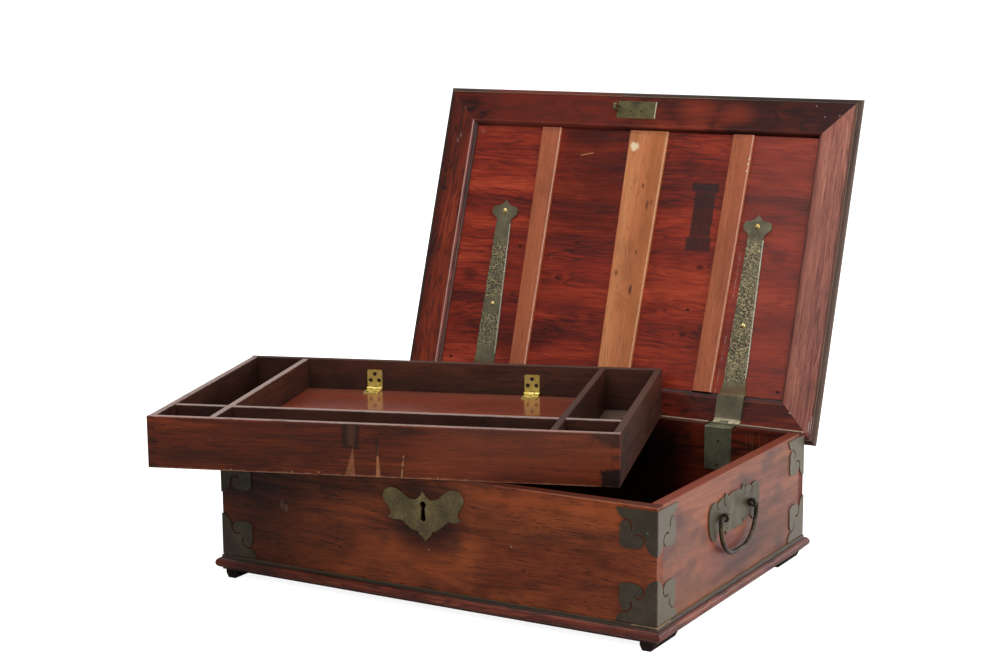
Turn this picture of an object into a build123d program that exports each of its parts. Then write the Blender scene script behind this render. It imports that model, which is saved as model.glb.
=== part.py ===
"""Travelling desk box: a moulded hardwood case with a hinged panelled lid, a lift-out
till with a hinged inner flap, scrolled brass mounts, a box lock and two bail handles.

Axes: X runs along the front, Y from front to back, Z up. The origin is the centre of the
case at the level of the surface it stands on. The lid stands open on its stop and the till
lies askew on the rim, as somebody leaves them when the box is in use. Sizes are millimetres.
"""

import os

from build123d import *

# Case
CASE_W = 500.0  # along the front
CASE_D = 356.0  # front to back
WALL = 13.0
FOOT_H = 8.5
BASE_TOP = 24.0  # upper edge of the base moulding
RIM = 138.0  # top of the case walls
MOULD_OUT = 7.0  # how far the base moulding stands out
NOSE_H = 10.0  # its rounded nose
FLOOR_Z, FLOOR_T = 10.0, 8.0

# Lid, described shut and then swung open
LID_OVER = 12.0  # overhang beyond the case walls
LID_GAP = 0.3  # air between the rim and the shut lid
RAIL_W = 39.0  # flat face of a frame member, measured from the outer edge
RAIL_EDGE = 6.0  # moulded inner edge beyond that face
PANEL_DROP = 5.0  # depth of the panel below the frame's inner face
BATTEN_FACE = 0.5  # depth of the battens below it
LID_T = 16.0
LID_OPEN = 108.26  # degrees from shut to the stop
STRAP_T = 2.0
KNUCKLE_R = 2.8
AXIS_Y = CASE_D / 2 + 0.1  # lid pivot line, at the outer face of the back wall
AXIS_Z = RIM + LID_GAP - STRAP_T - 0.15
LEAF_W = 31.0
NOTCH_W = 38.0  # cut in the rim for a hinge
# The battens taper a little: their edges in X at the front end, then at the back end
BATTENS = (("left", (-127.4, -102.5), (-123.4, -102.5)), ("centre", (-12.2, 36.0), (-8.7, 31.5)),
           ("right", (116.5, 141.5), (111.5, 134.0)))

# Till
TILL_W, TILL_D, TILL_H = 470.0, 326.0, 52.0
TILL_T = 7.5
DIVIDER_T = 7.0
TILL_FLOOR = 5.0
DIVIDER_X = (-171.5, 169.0)
SLOT_Y = -100.5  # long divider behind the pen slot
FLAP_TOP, FLAP_T = 18.5, 5.0
TILL_YAW = 18.85
TILL_CENTRE = (-89.0, -50.0, RIM + 0.1)
FLAP_HINGE_X = (-90.5, 90.0)
BUTT_R = 1.8  # knuckle of the flap's hinges
BUTT_LEAF = 21.0
BUTT_T = 1.2
FLAP_AXIS_Y = TILL_D / 2 - TILL_T - BUTT_R - 0.1
FLAP_AXIS_Z = FLAP_TOP + BUTT_R + 0.1

# Brasswork
MOUNT_T = 1.2
PLATE_T = 1.5
HANDLE_Y = -5.0
HANDLE_Z = 94.5
EYE_Z = 96.0
EYE_OUT = 6.0  # pivot of the bail, out from the wall
EYE_SPAN = 33.0  # half the distance between the two eyes
EYE_R = 4.6
BAIL_R = 2.3
BAIL_HALF, BAIL_DROP, BAIL_BEND = 43.2, 40.3, 34.0
LOCK_X = -3.0
KEY_Z = 108.8
BOLT_X, BOLT_Y, BOLT_Z = -30.0, -169.7, 128.2  # where the staple comes down, and the tongue

HW, HD = CASE_W / 2, CASE_D / 2
SHUT_FACE = RIM + LID_GAP  # inner face of the shut lid
LID_PIVOT = Axis((0, AXIS_Y, AXIS_Z), (1, 0, 0))
os.makedirs("parts", exist_ok=True)


def save(name, *shapes):
    """Writes one node from one or more solids."""
    solids = [s for shape in shapes for s in shape.solids()]
    export_step(solids[0] if len(solids) == 1 else Compound(solids), f"parts/{name}.step")


def block(x0, x1, y0, y1, z0, z1):
    """A square-edged block between two corners."""
    middle = ((x0 + x1) / 2, (y0 + y1) / 2, (z0 + z1) / 2)
    return Pos(*middle) * Box(abs(x1 - x0), abs(y1 - y0), abs(z1 - z0))


def eased(shape, run, size, keep):
    """Breaks the chosen edges that run along one axis."""
    return chamfer([e for e in shape.edges().filter_by(run) if keep(e.center())], size)


def rod(a, b, r):
    """A round bar from one point to another."""
    a, b = Vector(*a), Vector(*b)
    return Solid.make_cylinder(r, (b - a).length, Plane(origin=a, z_dir=b - a))


def cross_rod(x0, x1, y, z, r):
    """A round bar along X."""
    return rod((x0, y, z), (x1, y, z), r)


def outline(*runs):
    """A flat face from runs of points: two points make a line, more make a smooth curve."""
    return make_face([Line(*run) if len(run) == 2 else Spline(*run) for run in runs])


def curl(width, start, middle, end):
    """A curled saw cut of even width along an arc."""
    return SlotArc(ThreePointArc(start, middle, end), width)


def mitred(section, width, depth, side):
    """One member of a mitred frame. The section has X inward from the outer edge, Y up."""
    run, edge = (width, depth / 2) if side in ("front", "back") else (depth, width / 2)
    start = Plane(origin=(-run / 2, -edge, 0), x_dir=(0, 1, 0), z_dir=(1, 0, 0))
    bar = extrude(start * section, run)
    inset = 60.0
    plan = Polyline((-run / 2, -edge), (run / 2, -edge), (run / 2 - inset, inset - edge),
                    (inset - run / 2, inset - edge), (-run / 2, -edge))
    bar = bar & Pos(0, 0, -50) * extrude(make_face([plan]), 250)
    turn = {"front": 0, "right": 90, "back": 180, "left": 270}[side]
    return Rot(0, 0, turn) * bar


def keyhole(x, y, depth, grow=0.0):
    """The keyhole as a cutter that runs back from y: a round eye over a flared slot."""
    slot = Pos(0, -8.5) * Trapezoid(6.4, 14.0, 84)
    shape = Circle(3.2 + grow) + slot + Pos(0, -13.6) * Circle(3.1)
    return Pos(x, y, KEY_Z) * extrude(Plane.XZ * shape, -depth)


# Case walls: the front and back run through, the ends stand between them
def wall(x0, x1, y0, y1, run):
    """A case wall with its upper arrises worn soft."""
    board = block(x0, x1, y0, y1, FOOT_H, RIM)
    return eased(board, run, 0.9, lambda c: c.Z > RIM - 1)


front = wall(-HW, HW, -HD, WALL - HD, Axis.X)
front -= block(LOCK_X - 40, LOCK_X + 40, -175, 0, 79, RIM + 1)
front -= block(LOCK_X - 43, LOCK_X + 43, -175.8, 0, RIM - 1.7, RIM + 1)
front -= keyhole(LOCK_X, -HD - 1, 8)
save("case_front", front)

HINGES = (("left", -157.5, -157.0, -4.5), ("right", 159.5, 156.0, 1.0))  # strap x, leaf x, lean
back = wall(-HW, HW, HD - WALL, HD, Axis.X)
for _, strap_x, leaf_x, _ in HINGES:
    x = (strap_x + leaf_x) / 2
    back -= block(x - NOTCH_W / 2, x + NOTCH_W / 2, 0, HD + 1, AXIS_Z - 2.6, RIM + 1)
    back -= cross_rod(x - NOTCH_W / 2, x + NOTCH_W / 2, AXIS_Y, AXIS_Z, KNUCKLE_R + 0.3)

eye_y = (HANDLE_Y - EYE_SPAN, HANDLE_Y + EYE_SPAN)
for side, sx in (("left", -1), ("right", 1)):
    inner, outer = sorted((sx * (HW - WALL), sx * HW))
    end = wall(inner, outer, WALL - HD, HD - WALL, Axis.Y)
    for y in eye_y:
        end -= cross_rod(inner - 1, outer + 1, y, EYE_Z, 2.1)
    save(f"case_{side}", end)
save("case_floor", block(WALL - HW, HW - WALL, WALL - HD, HD - WALL, FLOOR_Z, FLOOR_Z + FLOOR_T))

# Ledges on the two ends carry the till when it is put away
LEDGE_TOP, LEDGE_W = RIM - 4 - TILL_H, 8.0
ledges = []
for sx in (-1, 1):
    ledge = block(sx * (HW - WALL), sx * (HW - WALL - LEDGE_W), WALL - HD, HD - WALL,
                  LEDGE_TOP - 10, LEDGE_TOP)
    ledges.append(eased(ledge, Axis.Y, 1.5, lambda c: abs(c.X) < HW - WALL - 1))
save("till_ledges", *ledges)

# Base moulding: a thin fillet, a small cove and a rounded nose over a recessed foot
cove = MOULD_OUT - 1.8
nose_top, nose_low = BASE_TOP - 3.2, BASE_TOP - 3.2 - NOSE_H
shoulder, recess = cove - 1.6, MOULD_OUT - 1.5
base = make_face([
    Polyline((MOULD_OUT, BASE_TOP), (cove, BASE_TOP), (cove, BASE_TOP - 1.4)),
    ThreePointArc((cove, BASE_TOP - 1.4), (cove - 0.4, nose_top + 0.5), (shoulder, nose_top)),
    ThreePointArc((shoulder, nose_top), (0, (nose_top + nose_low) / 2), (shoulder, nose_low)),
    Polyline((shoulder, nose_low), (recess, nose_low), (recess, FOOT_H),
             (MOULD_OUT, FOOT_H), (MOULD_OUT, BASE_TOP)),
])
for side in ("front", "right", "back", "left"):
    bar = mitred(base, CASE_W + 2 * MOULD_OUT, CASE_D + 2 * MOULD_OUT, side)
    save(f"base_moulding_{side}", bar)

# Feet: short cleats at the corners, with bevelled sides
feet = []
for sx in (-1, 1):
    for sy in (-1, 1):
        foot = block(sx * 233.5, sx * 247.5, sy * 126, sy * 179, 0, FOOT_H)
        feet.append(chamfer(foot.edges().filter_by(Axis.Y).group_by(Axis.Z)[0], 5.0, 2.6))
save("feet", *feet)

# Corner mounts. A wing is drawn with X away from the corner and Y down from its long edge.
WING_TAIL = 43.2  # how far its tail runs along the corner
WING = outline(
    ((0, 0), (42, 0)),
    ((42, 0), (40.6, -3.4), (38.2, -6.9), (33.6, -9.9)),
    ((33.6, -9.9), (35.8, -13.2), (37.9, -17.6)),
    ((37.9, -17.6), (38, -34.6)),
    ((38, -34.6), (35.2, -37.2), (28, -38.3), (19.7, -37.6), (14.6, -34.8)),
    ((14.6, -34.8), (12.4, -31.6)),
    ((12.4, -31.6), (9.4, -36.8), (6.2, -40.8), (0, -WING_TAIL)),
    ((0, -WING_TAIL), (0, 0)),
)
WING -= curl(1.7, (34.8, -10.8), (27.4, -12.3), (25.6, -19.6))
WING -= curl(1.7, (12.6, -33.4), (14.6, -25.6), (21.6, -25.2))


def corner_mount(sx, sy, upper):
    """The two wings of a mount, one on each face, joined by the bend over the corner.

    The upper ones at the back are let in flush, because the open lid leans there.
    """
    wing = WING if upper else mirror(WING, Plane.XZ)
    z = RIM - 3.5 if upper else BASE_TOP + 1
    face_y = HD - MOUNT_T if upper and sy > 0 else HD
    sheets = []
    for along, out in (((-sx, 0, 0), (0, sy, 0)), ((0, -sy, 0), (sx, 0, 0))):
        normal = Vector(*along).cross(Vector(0, 0, 1))
        face = Plane(origin=(sx * HW, sy * face_y, z), x_dir=along, z_dir=normal)
        thick = MOUNT_T if normal.dot(Vector(*out)) > 0 else -MOUNT_T
        sheets.append(extrude(face * wing, thick))
    tail = WING_TAIL if upper else -WING_TAIL
    bend = block(sx * HW, sx * (HW + MOUNT_T), sy * face_y, sy * (face_y + MOUNT_T), z - tail, z)
    edges = bend.edges().filter_by(Axis.Z)
    bend = fillet(edges.sort_by(lambda e: abs(e.center().X) + abs(e.center().Y))[-1], 1.0)
    return sheets[0] + sheets[1] + bend


for level in ("upper", "lower"):
    for sx, side in ((-1, "left"), (1, "right")):
        for sy, end in ((-1, "front"), (1, "back")):
            mount = corner_mount(sx, sy, level == "upper")
            save(f"mount_{level}_{end}_{side}", mount)
            if level == "upper" and sy > 0:
                back -= mount
save("case_back", back)

# Escutcheon: two round ears, an ogee point over the keyhole, hooked lower corners and a
# drop finial. It was nailed on a few degrees out of level.
half = outline(
    ((0, 26), (2, 22), (4.8, 19.2), (8.6, 17)),
    ((8.6, 17), (14.4, 17.4), (19.6, 19.8)),
    ((19.6, 19.8), (26, 24.6), (35, 28), (43.2, 25), (46.6, 18), (43, 11), (39.3, 6), (38.3, 1.6)),
    ((38.3, 1.6), (39.8, -0.2), (42.6, -1.2)),
    ((42.6, -1.2), (38.6, -3.6), (33, -4.4), (28, -4)),
    ((28, -4), (22.2, -7.6), (15, -13), (7.9, -14.6)),
    ((7.9, -14.6), (7.3, -17), (5.6, -18.9)),
    ((5.6, -18.9), (2.6, -21.6), (0, -25.4)),
    ((0, -25.4), (0, 26)),
)
ESC_T = 1.3
escutcheon = extrude(Plane.XZ * (half + mirror(half, Plane.YZ)), ESC_T)
escutcheon = Pos(LOCK_X + 1.2, -HD, 97) * Rot(0, -4, 0) * escutcheon
escutcheon -= keyhole(LOCK_X, -HD - 4, 8, 0.25)
nails = []
for x, z in ((-39.0, 110.7), (28.7, 112.9), (-4.8, 79.6)):
    escutcheon -= rod((x, -HD, z), (x, -HD - 3, z), 1.05)
    dome = Pos(0, 1.3, 0) * Sphere(2.9) & block(-4, 4, -4, -ESC_T, -4, 4)
    nails.append(Pos(x, -HD, z) * dome + rod((x, -HD, z), (x, -HD - 1.6, z), 1.0))
save("escutcheon", escutcheon)
save("escutcheon_nails", *nails)

# Box lock, let into the front wall from behind, with its selvedge in the rim
LOCK_LOW, LOCK_HALF = 79.2, 39.8
LOCK_WALL, SELVEDGE_T = 1.2, 1.6
FRONT_PLATE, CAP = -174.0, -165.4  # inner faces of the lock's front plate and cap
inner = LOCK_HALF - LOCK_WALL
lock = block(LOCK_X - LOCK_HALF, LOCK_X + LOCK_HALF, FRONT_PLATE - 1, CAP, LOCK_LOW,
             RIM - SELVEDGE_T)
lock -= block(LOCK_X - inner, LOCK_X + inner, FRONT_PLATE, 0, LOCK_LOW + LOCK_WALL,
              RIM - SELVEDGE_T - LOCK_WALL)
lock += block(LOCK_X - LOCK_HALF - 3, LOCK_X + LOCK_HALF + 3, FRONT_PLATE - 1.6, CAP + 1,
              RIM - SELVEDGE_T, RIM)
lock -= block(BOLT_X - 2.4, BOLT_X + 2.4, FRONT_PLATE, CAP + 0.01, RIM - 5, RIM + 1)
lock -= keyhole(LOCK_X, -HD - 1, 8)
ward = Rot(90, 0, 0) * (Cylinder(16.5, 2.4) - Cylinder(15.5, 4))
ward -= block(-20, 20, -5, 5, -20, -6)
lock += Pos(LOCK_X, FRONT_PLATE + 1.2, KEY_Z) * ward
for x in (LOCK_X - 19, LOCK_X + 15):  # rests for the bolt, clear of its talon
    lock += block(x, x + 4, FRONT_PLATE, CAP - 0.1, BOLT_Z - 1.4, BOLT_Z - 0.2)
save("lock_case", lock)
cap = block(LOCK_X - LOCK_HALF, LOCK_X + LOCK_HALF, CAP, CAP + 1, LOCK_LOW, RIM - SELVEDGE_T)
for x in (LOCK_X - 35, LOCK_X + 35):
    for z in (84, 130):
        cap += rod((x, CAP + 1, z), (x, CAP + 1.6, z), 2.2)
save("lock_cap", cap)

# The bolt: a square tongue, a tail that slides over two staples and a talon for the key
TONGUE_T, TONGUE_H = 3.4, 6.4
bolt = block(-21, 30, -TONGUE_T / 2, TONGUE_T / 2, 0, TONGUE_H)
bolt += block(-2, 14, -TONGUE_T / 2, TONGUE_T / 2, -8, 0)
bolt -= Pos(6, 0, -9) * Rot(90, 0, 0) * Cylinder(5.2, 8)
bolt = chamfer(bolt.edges().filter_by(Axis.Y).group_by(Axis.X)[0], 0.8)
save("lock_bolt", Pos(LOCK_X, BOLT_Y, BOLT_Z) * bolt)

# Handle plates, drawn about their middle: cusped above and below, with scroll slits
CARTOUCHE = outline(
    ((0, 20.3), (7, 20.2), (13, 19.2)),
    ((13, 19.2), (14.4, 18.2), (17, 19.8), (24.6, 19.2)),
    ((24.6, 19.2), (31, 19.4), (40.4, 16.6)),
    ((40.4, 16.6), (43.6, 18.2), (47.6, 18.8)),
    ((47.6, 18.8), (56.6, 16.4), (61, 3), (58.6, -9), (54, -17)),
    ((54, -17), (51, -19.2), (47, -19.8)),
    ((47, -19.8), (41.6, -15.4), (36, -11.4)),
    ((36, -11.4), (32.4, -14.2), (24.4, -14.6)),
    ((24.4, -14.6), (21.6, -16.6), (19, -19.8)),
    ((19, -19.8), (14, -18.6), (10, -17)),
    ((10, -17), (5, -17.4), (0, -18.5)),
    ((0, -18.5), (0, 20.3)),
)
for cut in (curl(1.3, (25.2, 20.4), (25.8, 15.4), (23.4, 11)),
            curl(1.3, (40.6, 17.6), (42.2, 13.8), (40, 10.6)),
            curl(1.3, (19.6, -20.6), (21.6, -16.2), (19.4, -12.4))):
    CARTOUCHE -= cut
CARTOUCHE += mirror(CARTOUCHE, Plane.YZ)


def eye(sx, y):
    """A ring eye on a shank that runs through plate and wall and is clenched inside."""
    x, inner = sx * (HW + EYE_OUT), sx * (HW - WALL)
    ring = chamfer(Cylinder(EYE_R, 3.4).edges(), 0.8)
    ring = Pos(x, y, EYE_Z) * Rot(90, 0, 0) * ring
    shank = cross_rod(*sorted((inner - sx * 0.9, sx * (HW + 3))), y, EYE_Z, 2.0)
    tabs = block(inner, inner - sx * 0.9, y - 2, y + 2, EYE_Z - 9, EYE_Z + 9)
    hole = Pos(x, y, EYE_Z) * Rot(90, 0, 0) * Cylinder(BAIL_R + 0.08, 8)
    return ring + shank + tabs - hole


def bail(sx):
    """The drop handle: a round bar bent to a flat bow, its ends turned in through the eyes."""
    x, tip = sx * (HW + EYE_OUT), 26.0
    low = EYE_Z - BAIL_DROP
    route = [(x, HANDLE_Y - tip, EYE_Z), (x, HANDLE_Y - BAIL_HALF, EYE_Z),
             (x, HANDLE_Y - BAIL_HALF, low), (x, HANDLE_Y + BAIL_HALF, low),
             (x, HANDLE_Y + BAIL_HALF, EYE_Z), (x, HANDLE_Y + tip, EYE_Z)]
    path = FilletPolyline(*route, radius=(4, BAIL_BEND, BAIL_BEND, 4))
    return sweep(Plane(origin=route[0], z_dir=(0, -1, 0)) * Circle(BAIL_R), path)


for side, sx in (("left", -1), ("right", 1)):
    against = Plane(origin=(sx * HW, HANDLE_Y, HANDLE_Z), x_dir=(0, sx, 0), z_dir=(sx, 0, 0))
    plate = extrude(against * CARTOUCHE, PLATE_T)
    for y in eye_y:
        plate -= cross_rod(*sorted((sx * (HW - 1), sx * (HW + 3))), y, EYE_Z, 2.1)
    save(f"handle_plate_{side}", plate)
    save(f"handle_eyes_{side}", *[eye(sx, y) for y in eye_y])
    save(f"handle_bail_{side}", bail(sx))

# Lid frame: flat inner face, moulded inner edge, panel groove and half-round outer edge
edge_x = RAIL_W + RAIL_EDGE
GROOVE = (8.0, 12.0)
lid_section = make_face([
    Line((6, 0), (RAIL_W, 0)),
    ThreePointArc((RAIL_W, 0), (RAIL_W + 3.9, 1.45), (edge_x, PANEL_DROP)),
    Polyline((edge_x, PANEL_DROP), (edge_x, GROOVE[0]), (edge_x - 5, GROOVE[0]),
             (edge_x - 5, GROOVE[1]), (edge_x, GROOVE[1]), (edge_x, LID_T), (8, LID_T),
             (8, 14.2), (5.5, 12.8)),
    ThreePointArc((5.5, 12.8), (0, 7.3), (5.5, 1.8)),
    Polyline((5.5, 1.8), (6, 1.8), (6, 0)),
])
LID_W, LID_D = CASE_W + 2 * LID_OVER, CASE_D + 2 * LID_OVER
SHUT = Pos(0, 0, SHUT_FACE)


def opened(shape):
    """Swings a piece of the lid from shut to where it stands."""
    return shape.rotate(LID_PIVOT, -LID_OPEN)


# The link plate carries the staple that the bolt shoots through; it is let into the rail
LINK = (-32.0, 17.0, -178.9, -158.9)
LINK_T, STAPLE_OUT = 1.2, 13.0
for side in ("front", "back", "left", "right"):
    rail = SHUT * mitred(lid_section, LID_W, LID_D, side)
    if side == "back":
        for _, strap_x, leaf_x, _ in HINGES:
            x, w, r = (strap_x + leaf_x) / 2, NOTCH_W / 2, KNUCKLE_R + 0.3
            rail -= cross_rod(x - w, x + w, AXIS_Y, AXIS_Z, r)
    if side == "front":
        rail -= block(*LINK, SHUT_FACE - 1, SHUT_FACE + LINK_T - 0.1)
    save(f"lid_rail_{side}", opened(rail))
link = block(*LINK, SHUT_FACE - 0.1, SHUT_FACE + LINK_T - 0.1)
for x, r in ((-1, 2.0), (-14, 1.1)):
    link -= rod((x, -167, SHUT_FACE - 1), (x, -167, SHUT_FACE + 2), r)
staple = block(BOLT_X - 1.7, BOLT_X + 1.7, BOLT_Y - 3.7, BOLT_Y + 3.7, SHUT_FACE - STAPLE_OUT,
               SHUT_FACE)
staple = fillet(staple.edges().filter_by(Axis.X).group_by(Axis.Z)[0], 1.4)
staple -= block(BOLT_X - 3, BOLT_X + 3, BOLT_Y - 2.2, BOLT_Y + 2.2,
                SHUT_FACE - STAPLE_OUT + 1.8, SHUT_FACE - 0.1)
save("lock_link", opened(link + staple))

open_x, open_y = LID_W / 2 - edge_x, LID_D / 2 - edge_x
panel = block(-open_x, open_x, -open_y, open_y, PANEL_DROP, LID_T)
panel += block(-open_x - 5, open_x + 5, -open_y - 5, open_y + 5, *GROOVE)
save("lid_panel", opened(SHUT * panel))
for name, (a, b), (c, d) in BATTENS:
    plan = Polyline((a, -open_y), (b, -open_y), (d, open_y), (c, open_y), (a, -open_y))
    batten = Pos(0, 0, BATTEN_FACE) * extrude(make_face([plan]), PANEL_DROP - BATTEN_FACE)
    sides = [e for e in batten.edges().group_by(Axis.Z)[0] if abs(e.center().Y) < 1]
    batten = chamfer(sides, 1.0)
    save(f"lid_batten_{name}", opened(SHUT * batten))

# Strap hinges. A strap lies on the back rail, steps down over the rail's moulded edge onto
# the panel and ends in an onion finial. X is across it and Y runs from the pivot.
rail_end = RAIL_W - (LID_D / 2 - AXIS_Y)  # from the pivot to the end of the flat rail
DROP = PANEL_DROP - STRAP_T
STRAP_L = 234.0
step_a, step_b = rail_end + 3.6, rail_end + 7.4
strap_side = make_face([
    Polyline((0, -STRAP_T), (step_a, -STRAP_T), (step_b, DROP), (STRAP_L, DROP),
             (STRAP_L, PANEL_DROP), (step_b - 0.8, PANEL_DROP), (step_a + 0.8, 0), (0, 0),
             (0, -STRAP_T)),
])


def strap_outline(lean):
    """The strap seen flat. Lean is how far its tip stands off the square line."""
    runs = [
        ((LEAF_W / 2, -0.5), (LEAF_W / 2, step_b)),
        ((LEAF_W / 2, step_b), (13.2, step_b + 10), (13, 60)),
        ((13, 60), (9.6, 207)),
        ((9.6, 207), (9.4, 211), (12.8, 214.4), (16.2, 217.6), (16.4, 223), (10, 227)),
        ((10, 227), (5.4, 228.6), (2.6, 230.8), (0, STRAP_L)),
    ]
    right = [tuple((x + lean * y / STRAP_L, y) for x, y in run) for run in runs]
    left = [tuple((lean * y / STRAP_L - x, y) for x, y in run) for run in runs]
    return outline(*right, *left, (left[0][0], right[0][0]))


strap_nails = []
hinge_pins = []
for side, x, leaf_x, lean in HINGES:
    along = Plane(origin=(x, AXIS_Y, SHUT_FACE), x_dir=(0, -1, 0), z_dir=(-1, 0, 0))
    strip = extrude(along * strap_side, 28, both=True)
    flat = Plane(origin=(x, AXIS_Y, RIM), x_dir=(1, 0, 0), z_dir=(0, 0, -1))
    strap = strip & extrude(flat * strap_outline(lean), 12, both=True)
    ends = (min(x, leaf_x) - LEAF_W / 2, max(x, leaf_x) + LEAF_W / 2)
    strap += cross_rod(x - LEAF_W / 2, x + LEAF_W / 2, AXIS_Y, AXIS_Z, KNUCKLE_R)
    mid = leaf_x + 1
    strap -= block(mid - 5.3, mid + 5.3, AXIS_Y - 3.3, AXIS_Y + 4, AXIS_Z - 4, AXIS_Z + 4)
    strap -= cross_rod(x - 20, x + 20, AXIS_Y, AXIS_Z, 1.25)
    for dx, d, r in ((0, 221, 3.2), (0, 110, 2.8)):
        nx, ny, face = x + dx + lean * d / STRAP_L, AXIS_Y - d, SHUT_FACE + PANEL_DROP
        strap -= rod((nx, ny, face - 4), (nx, ny, face), 1.1)
        dome = Pos(0, 0, 1.4) * Sphere(r + 0.3) & block(-5, 5, -5, 5, -5, 0)
        nail = Pos(nx, ny, face - STRAP_T) * dome + rod((nx, ny, face - 2.4), (nx, ny, face), 1.0)
        strap_nails.append(opened(nail))
    save(f"strap_{side}", opened(strap))
    # lower leaf: from the knuckle over the notched rim and down the inside of the back wall
    top, inside = AXIS_Z - 0.3, HD - WALL
    near, far = leaf_x - LEAF_W / 2, leaf_x + LEAF_W / 2
    leaf = block(near, far, inside - STRAP_T, AXIS_Y, top - STRAP_T, top)
    leaf += block(near, far, inside - STRAP_T, inside, RIM - 50, top)
    leaf = fillet(leaf.edges().filter_by(Axis.X).group_by(Axis.Y)[0].group_by(Axis.Z)[-1], 1.5)
    for cut in ((near - 1, mid - 5), (mid + 5, far + 1)):
        leaf -= block(*cut, AXIS_Y - 3.3, AXIS_Y + 9, top - 9, top + 9)
    leaf += cross_rod(mid - 5, mid + 5, AXIS_Y, AXIS_Z, KNUCKLE_R)
    leaf -= cross_rod(mid - 6, mid + 6, AXIS_Y, AXIS_Z, 1.25)
    for dx, z in ((0.5, 119.5), (-1, 93)):
        leaf -= rod((leaf_x + dx, inside - 3, z), (leaf_x + dx, inside, z), 1.5)
    save(f"hinge_leaf_{side}", leaf)
    hinge_pins.append(cross_rod(*ends, AXIS_Y, AXIS_Z, 1.2))
save("strap_nails", *strap_nails)
save("hinge_pins", *hinge_pins)

# Till, drawn square about its own middle and then laid askew on the rim
LAID = Pos(*TILL_CENTRE) * Rot(0, 0, TILL_YAW)
TX, TY = TILL_W / 2, TILL_D / 2
IX, IY = TX - TILL_T, TY - TILL_T


def till_board(x0, x1, y0, y1, run):
    """A wall of the till with its upper arrises eased."""
    return LAID * eased(block(x0, x1, y0, y1, 0, TILL_H), run, 0.8, lambda c: c.Z > 50)


save("till_front", till_board(-TX, TX, -TY, -IY, Axis.X))
save("till_back", till_board(-TX, TX, IY, TY, Axis.X))
save("till_left", till_board(-TX, -IX, -IY, IY, Axis.Y))
save("till_right", till_board(IX, TX, -IY, IY, Axis.Y))
save("till_floor", LAID * block(-IX, IX, -IY, IY, 0, TILL_FLOOR))

# Dividers, halved into each other where they cross
half, mid = DIVIDER_T / 2, (TILL_FLOOR + TILL_H) / 2
DIVIDER_TOP = TILL_H - 0.8
long_one = block(-IX, IX, SLOT_Y - half, SLOT_Y + half, TILL_FLOOR, DIVIDER_TOP)
long_one = eased(long_one, Axis.X, 0.8, lambda c: c.Z > 50)
for name, x in zip(("left", "right"), DIVIDER_X):
    cross = block(x - half, x + half, -IY, IY, TILL_FLOOR, DIVIDER_TOP)
    cross = eased(cross, Axis.Y, 0.8, lambda c: c.Z > 50)
    cross -= block(x - 9, x + 9, SLOT_Y - half, SLOT_Y + half, 0, mid)
    long_one -= block(x - half, x + half, SLOT_Y - 9, SLOT_Y + 9, mid, TILL_H)
    save(f"till_divider_{name}", LAID * cross)
save("till_divider_long", LAID * long_one)

# Bearers round the well, and the flap that lies on them over the hidden space
x0, x1, y0, y1 = DIVIDER_X[0] + half, DIVIDER_X[1] - half, SLOT_Y + half, IY
low = (TILL_FLOOR, FLAP_TOP - FLAP_T)
BEARER = 6.0
save("flap_bearers", LAID * block(x0, x0 + BEARER, y0 + BEARER, y1, *low),
     LAID * block(x1 - BEARER, x1, y0 + BEARER, y1, *low),
     LAID * block(x0, x1, y0, y0 + BEARER, *low))
flap = block(x0 + 0.6, x1 - 0.6, y0 + 0.6, FLAP_AXIS_Y - 1.7, FLAP_TOP - FLAP_T, FLAP_TOP)
flap = eased(flap, Axis.X, 0.7, lambda c: c.Z > FLAP_TOP - 1)
flap -= Pos(0, y0 + 0.6, 0) * Cylinder(9, 60)
for x in FLAP_HINGE_X:
    flap -= cross_rod(x - 9.5, x + 9.5, FLAP_AXIS_Y, FLAP_AXIS_Z, BUTT_R + 0.3)
save("till_flap", LAID * flap)

# Butt hinges of the flap: a leaf on the back wall, a leaf on the flap and a pin
BUTT_HALF = 8.5
sink = Cone(1.3, 2.6, BUTT_T)
py, pz = FLAP_AXIS_Y, FLAP_AXIS_Z
wall_leaves, flap_leaves, butt_pins = [], [], []
for x in FLAP_HINGE_X:
    near, far = x - BUTT_HALF, x + BUTT_HALF
    up = block(near, far, y1 - BUTT_T, y1, pz - 0.9, pz + BUTT_LEAF)
    up = chamfer(up.edges().filter_by(Axis.Y).group_by(Axis.Z)[-1], 1.0)
    down = block(near, far, py - BUTT_LEAF, py + 0.6, FLAP_TOP, FLAP_TOP + BUTT_T)
    down = chamfer(down.edges().filter_by(Axis.Z).group_by(Axis.Y)[0], 1.0)
    for dx, d in ((-5.2, 15.2), (5.2, 15.2), (0, 7.4)):
        up -= Pos(x + dx, y1 - BUTT_T / 2, pz + d) * Rot(90, 0, 0) * sink
        down -= Pos(x + dx, py - d, FLAP_TOP + BUTT_T / 2) * sink
    up -= block(x - 3.1, x + 3.1, y1 - BUTT_T - 1, y1 + 1, pz - 3, pz + 2.3)
    for cut in ((near - 1, x - 2.8), (x + 2.8, far + 1)):
        down -= block(*cut, py - 2.3, py + 2, FLAP_TOP - 1, FLAP_TOP + 6)
    up += cross_rod(near, x - 3.1, py, pz, BUTT_R) + cross_rod(x + 3.1, far, py, pz, BUTT_R)
    down += cross_rod(x - 2.8, x + 2.8, py, pz, BUTT_R)
    bore = cross_rod(x - 12, x + 12, py, pz, 0.85)
    wall_leaves.append(LAID * (up - bore))
    flap_leaves.append(LAID * (down - bore))
    butt_pins.append(LAID * cross_rod(x - 8.8, x + 8.8, py, pz, 0.8))
save("flap_hinge_wall_leaves", *wall_leaves)
save("flap_hinge_flap_leaves", *flap_leaves)
save("flap_hinge_pins", *butt_pins)
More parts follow.
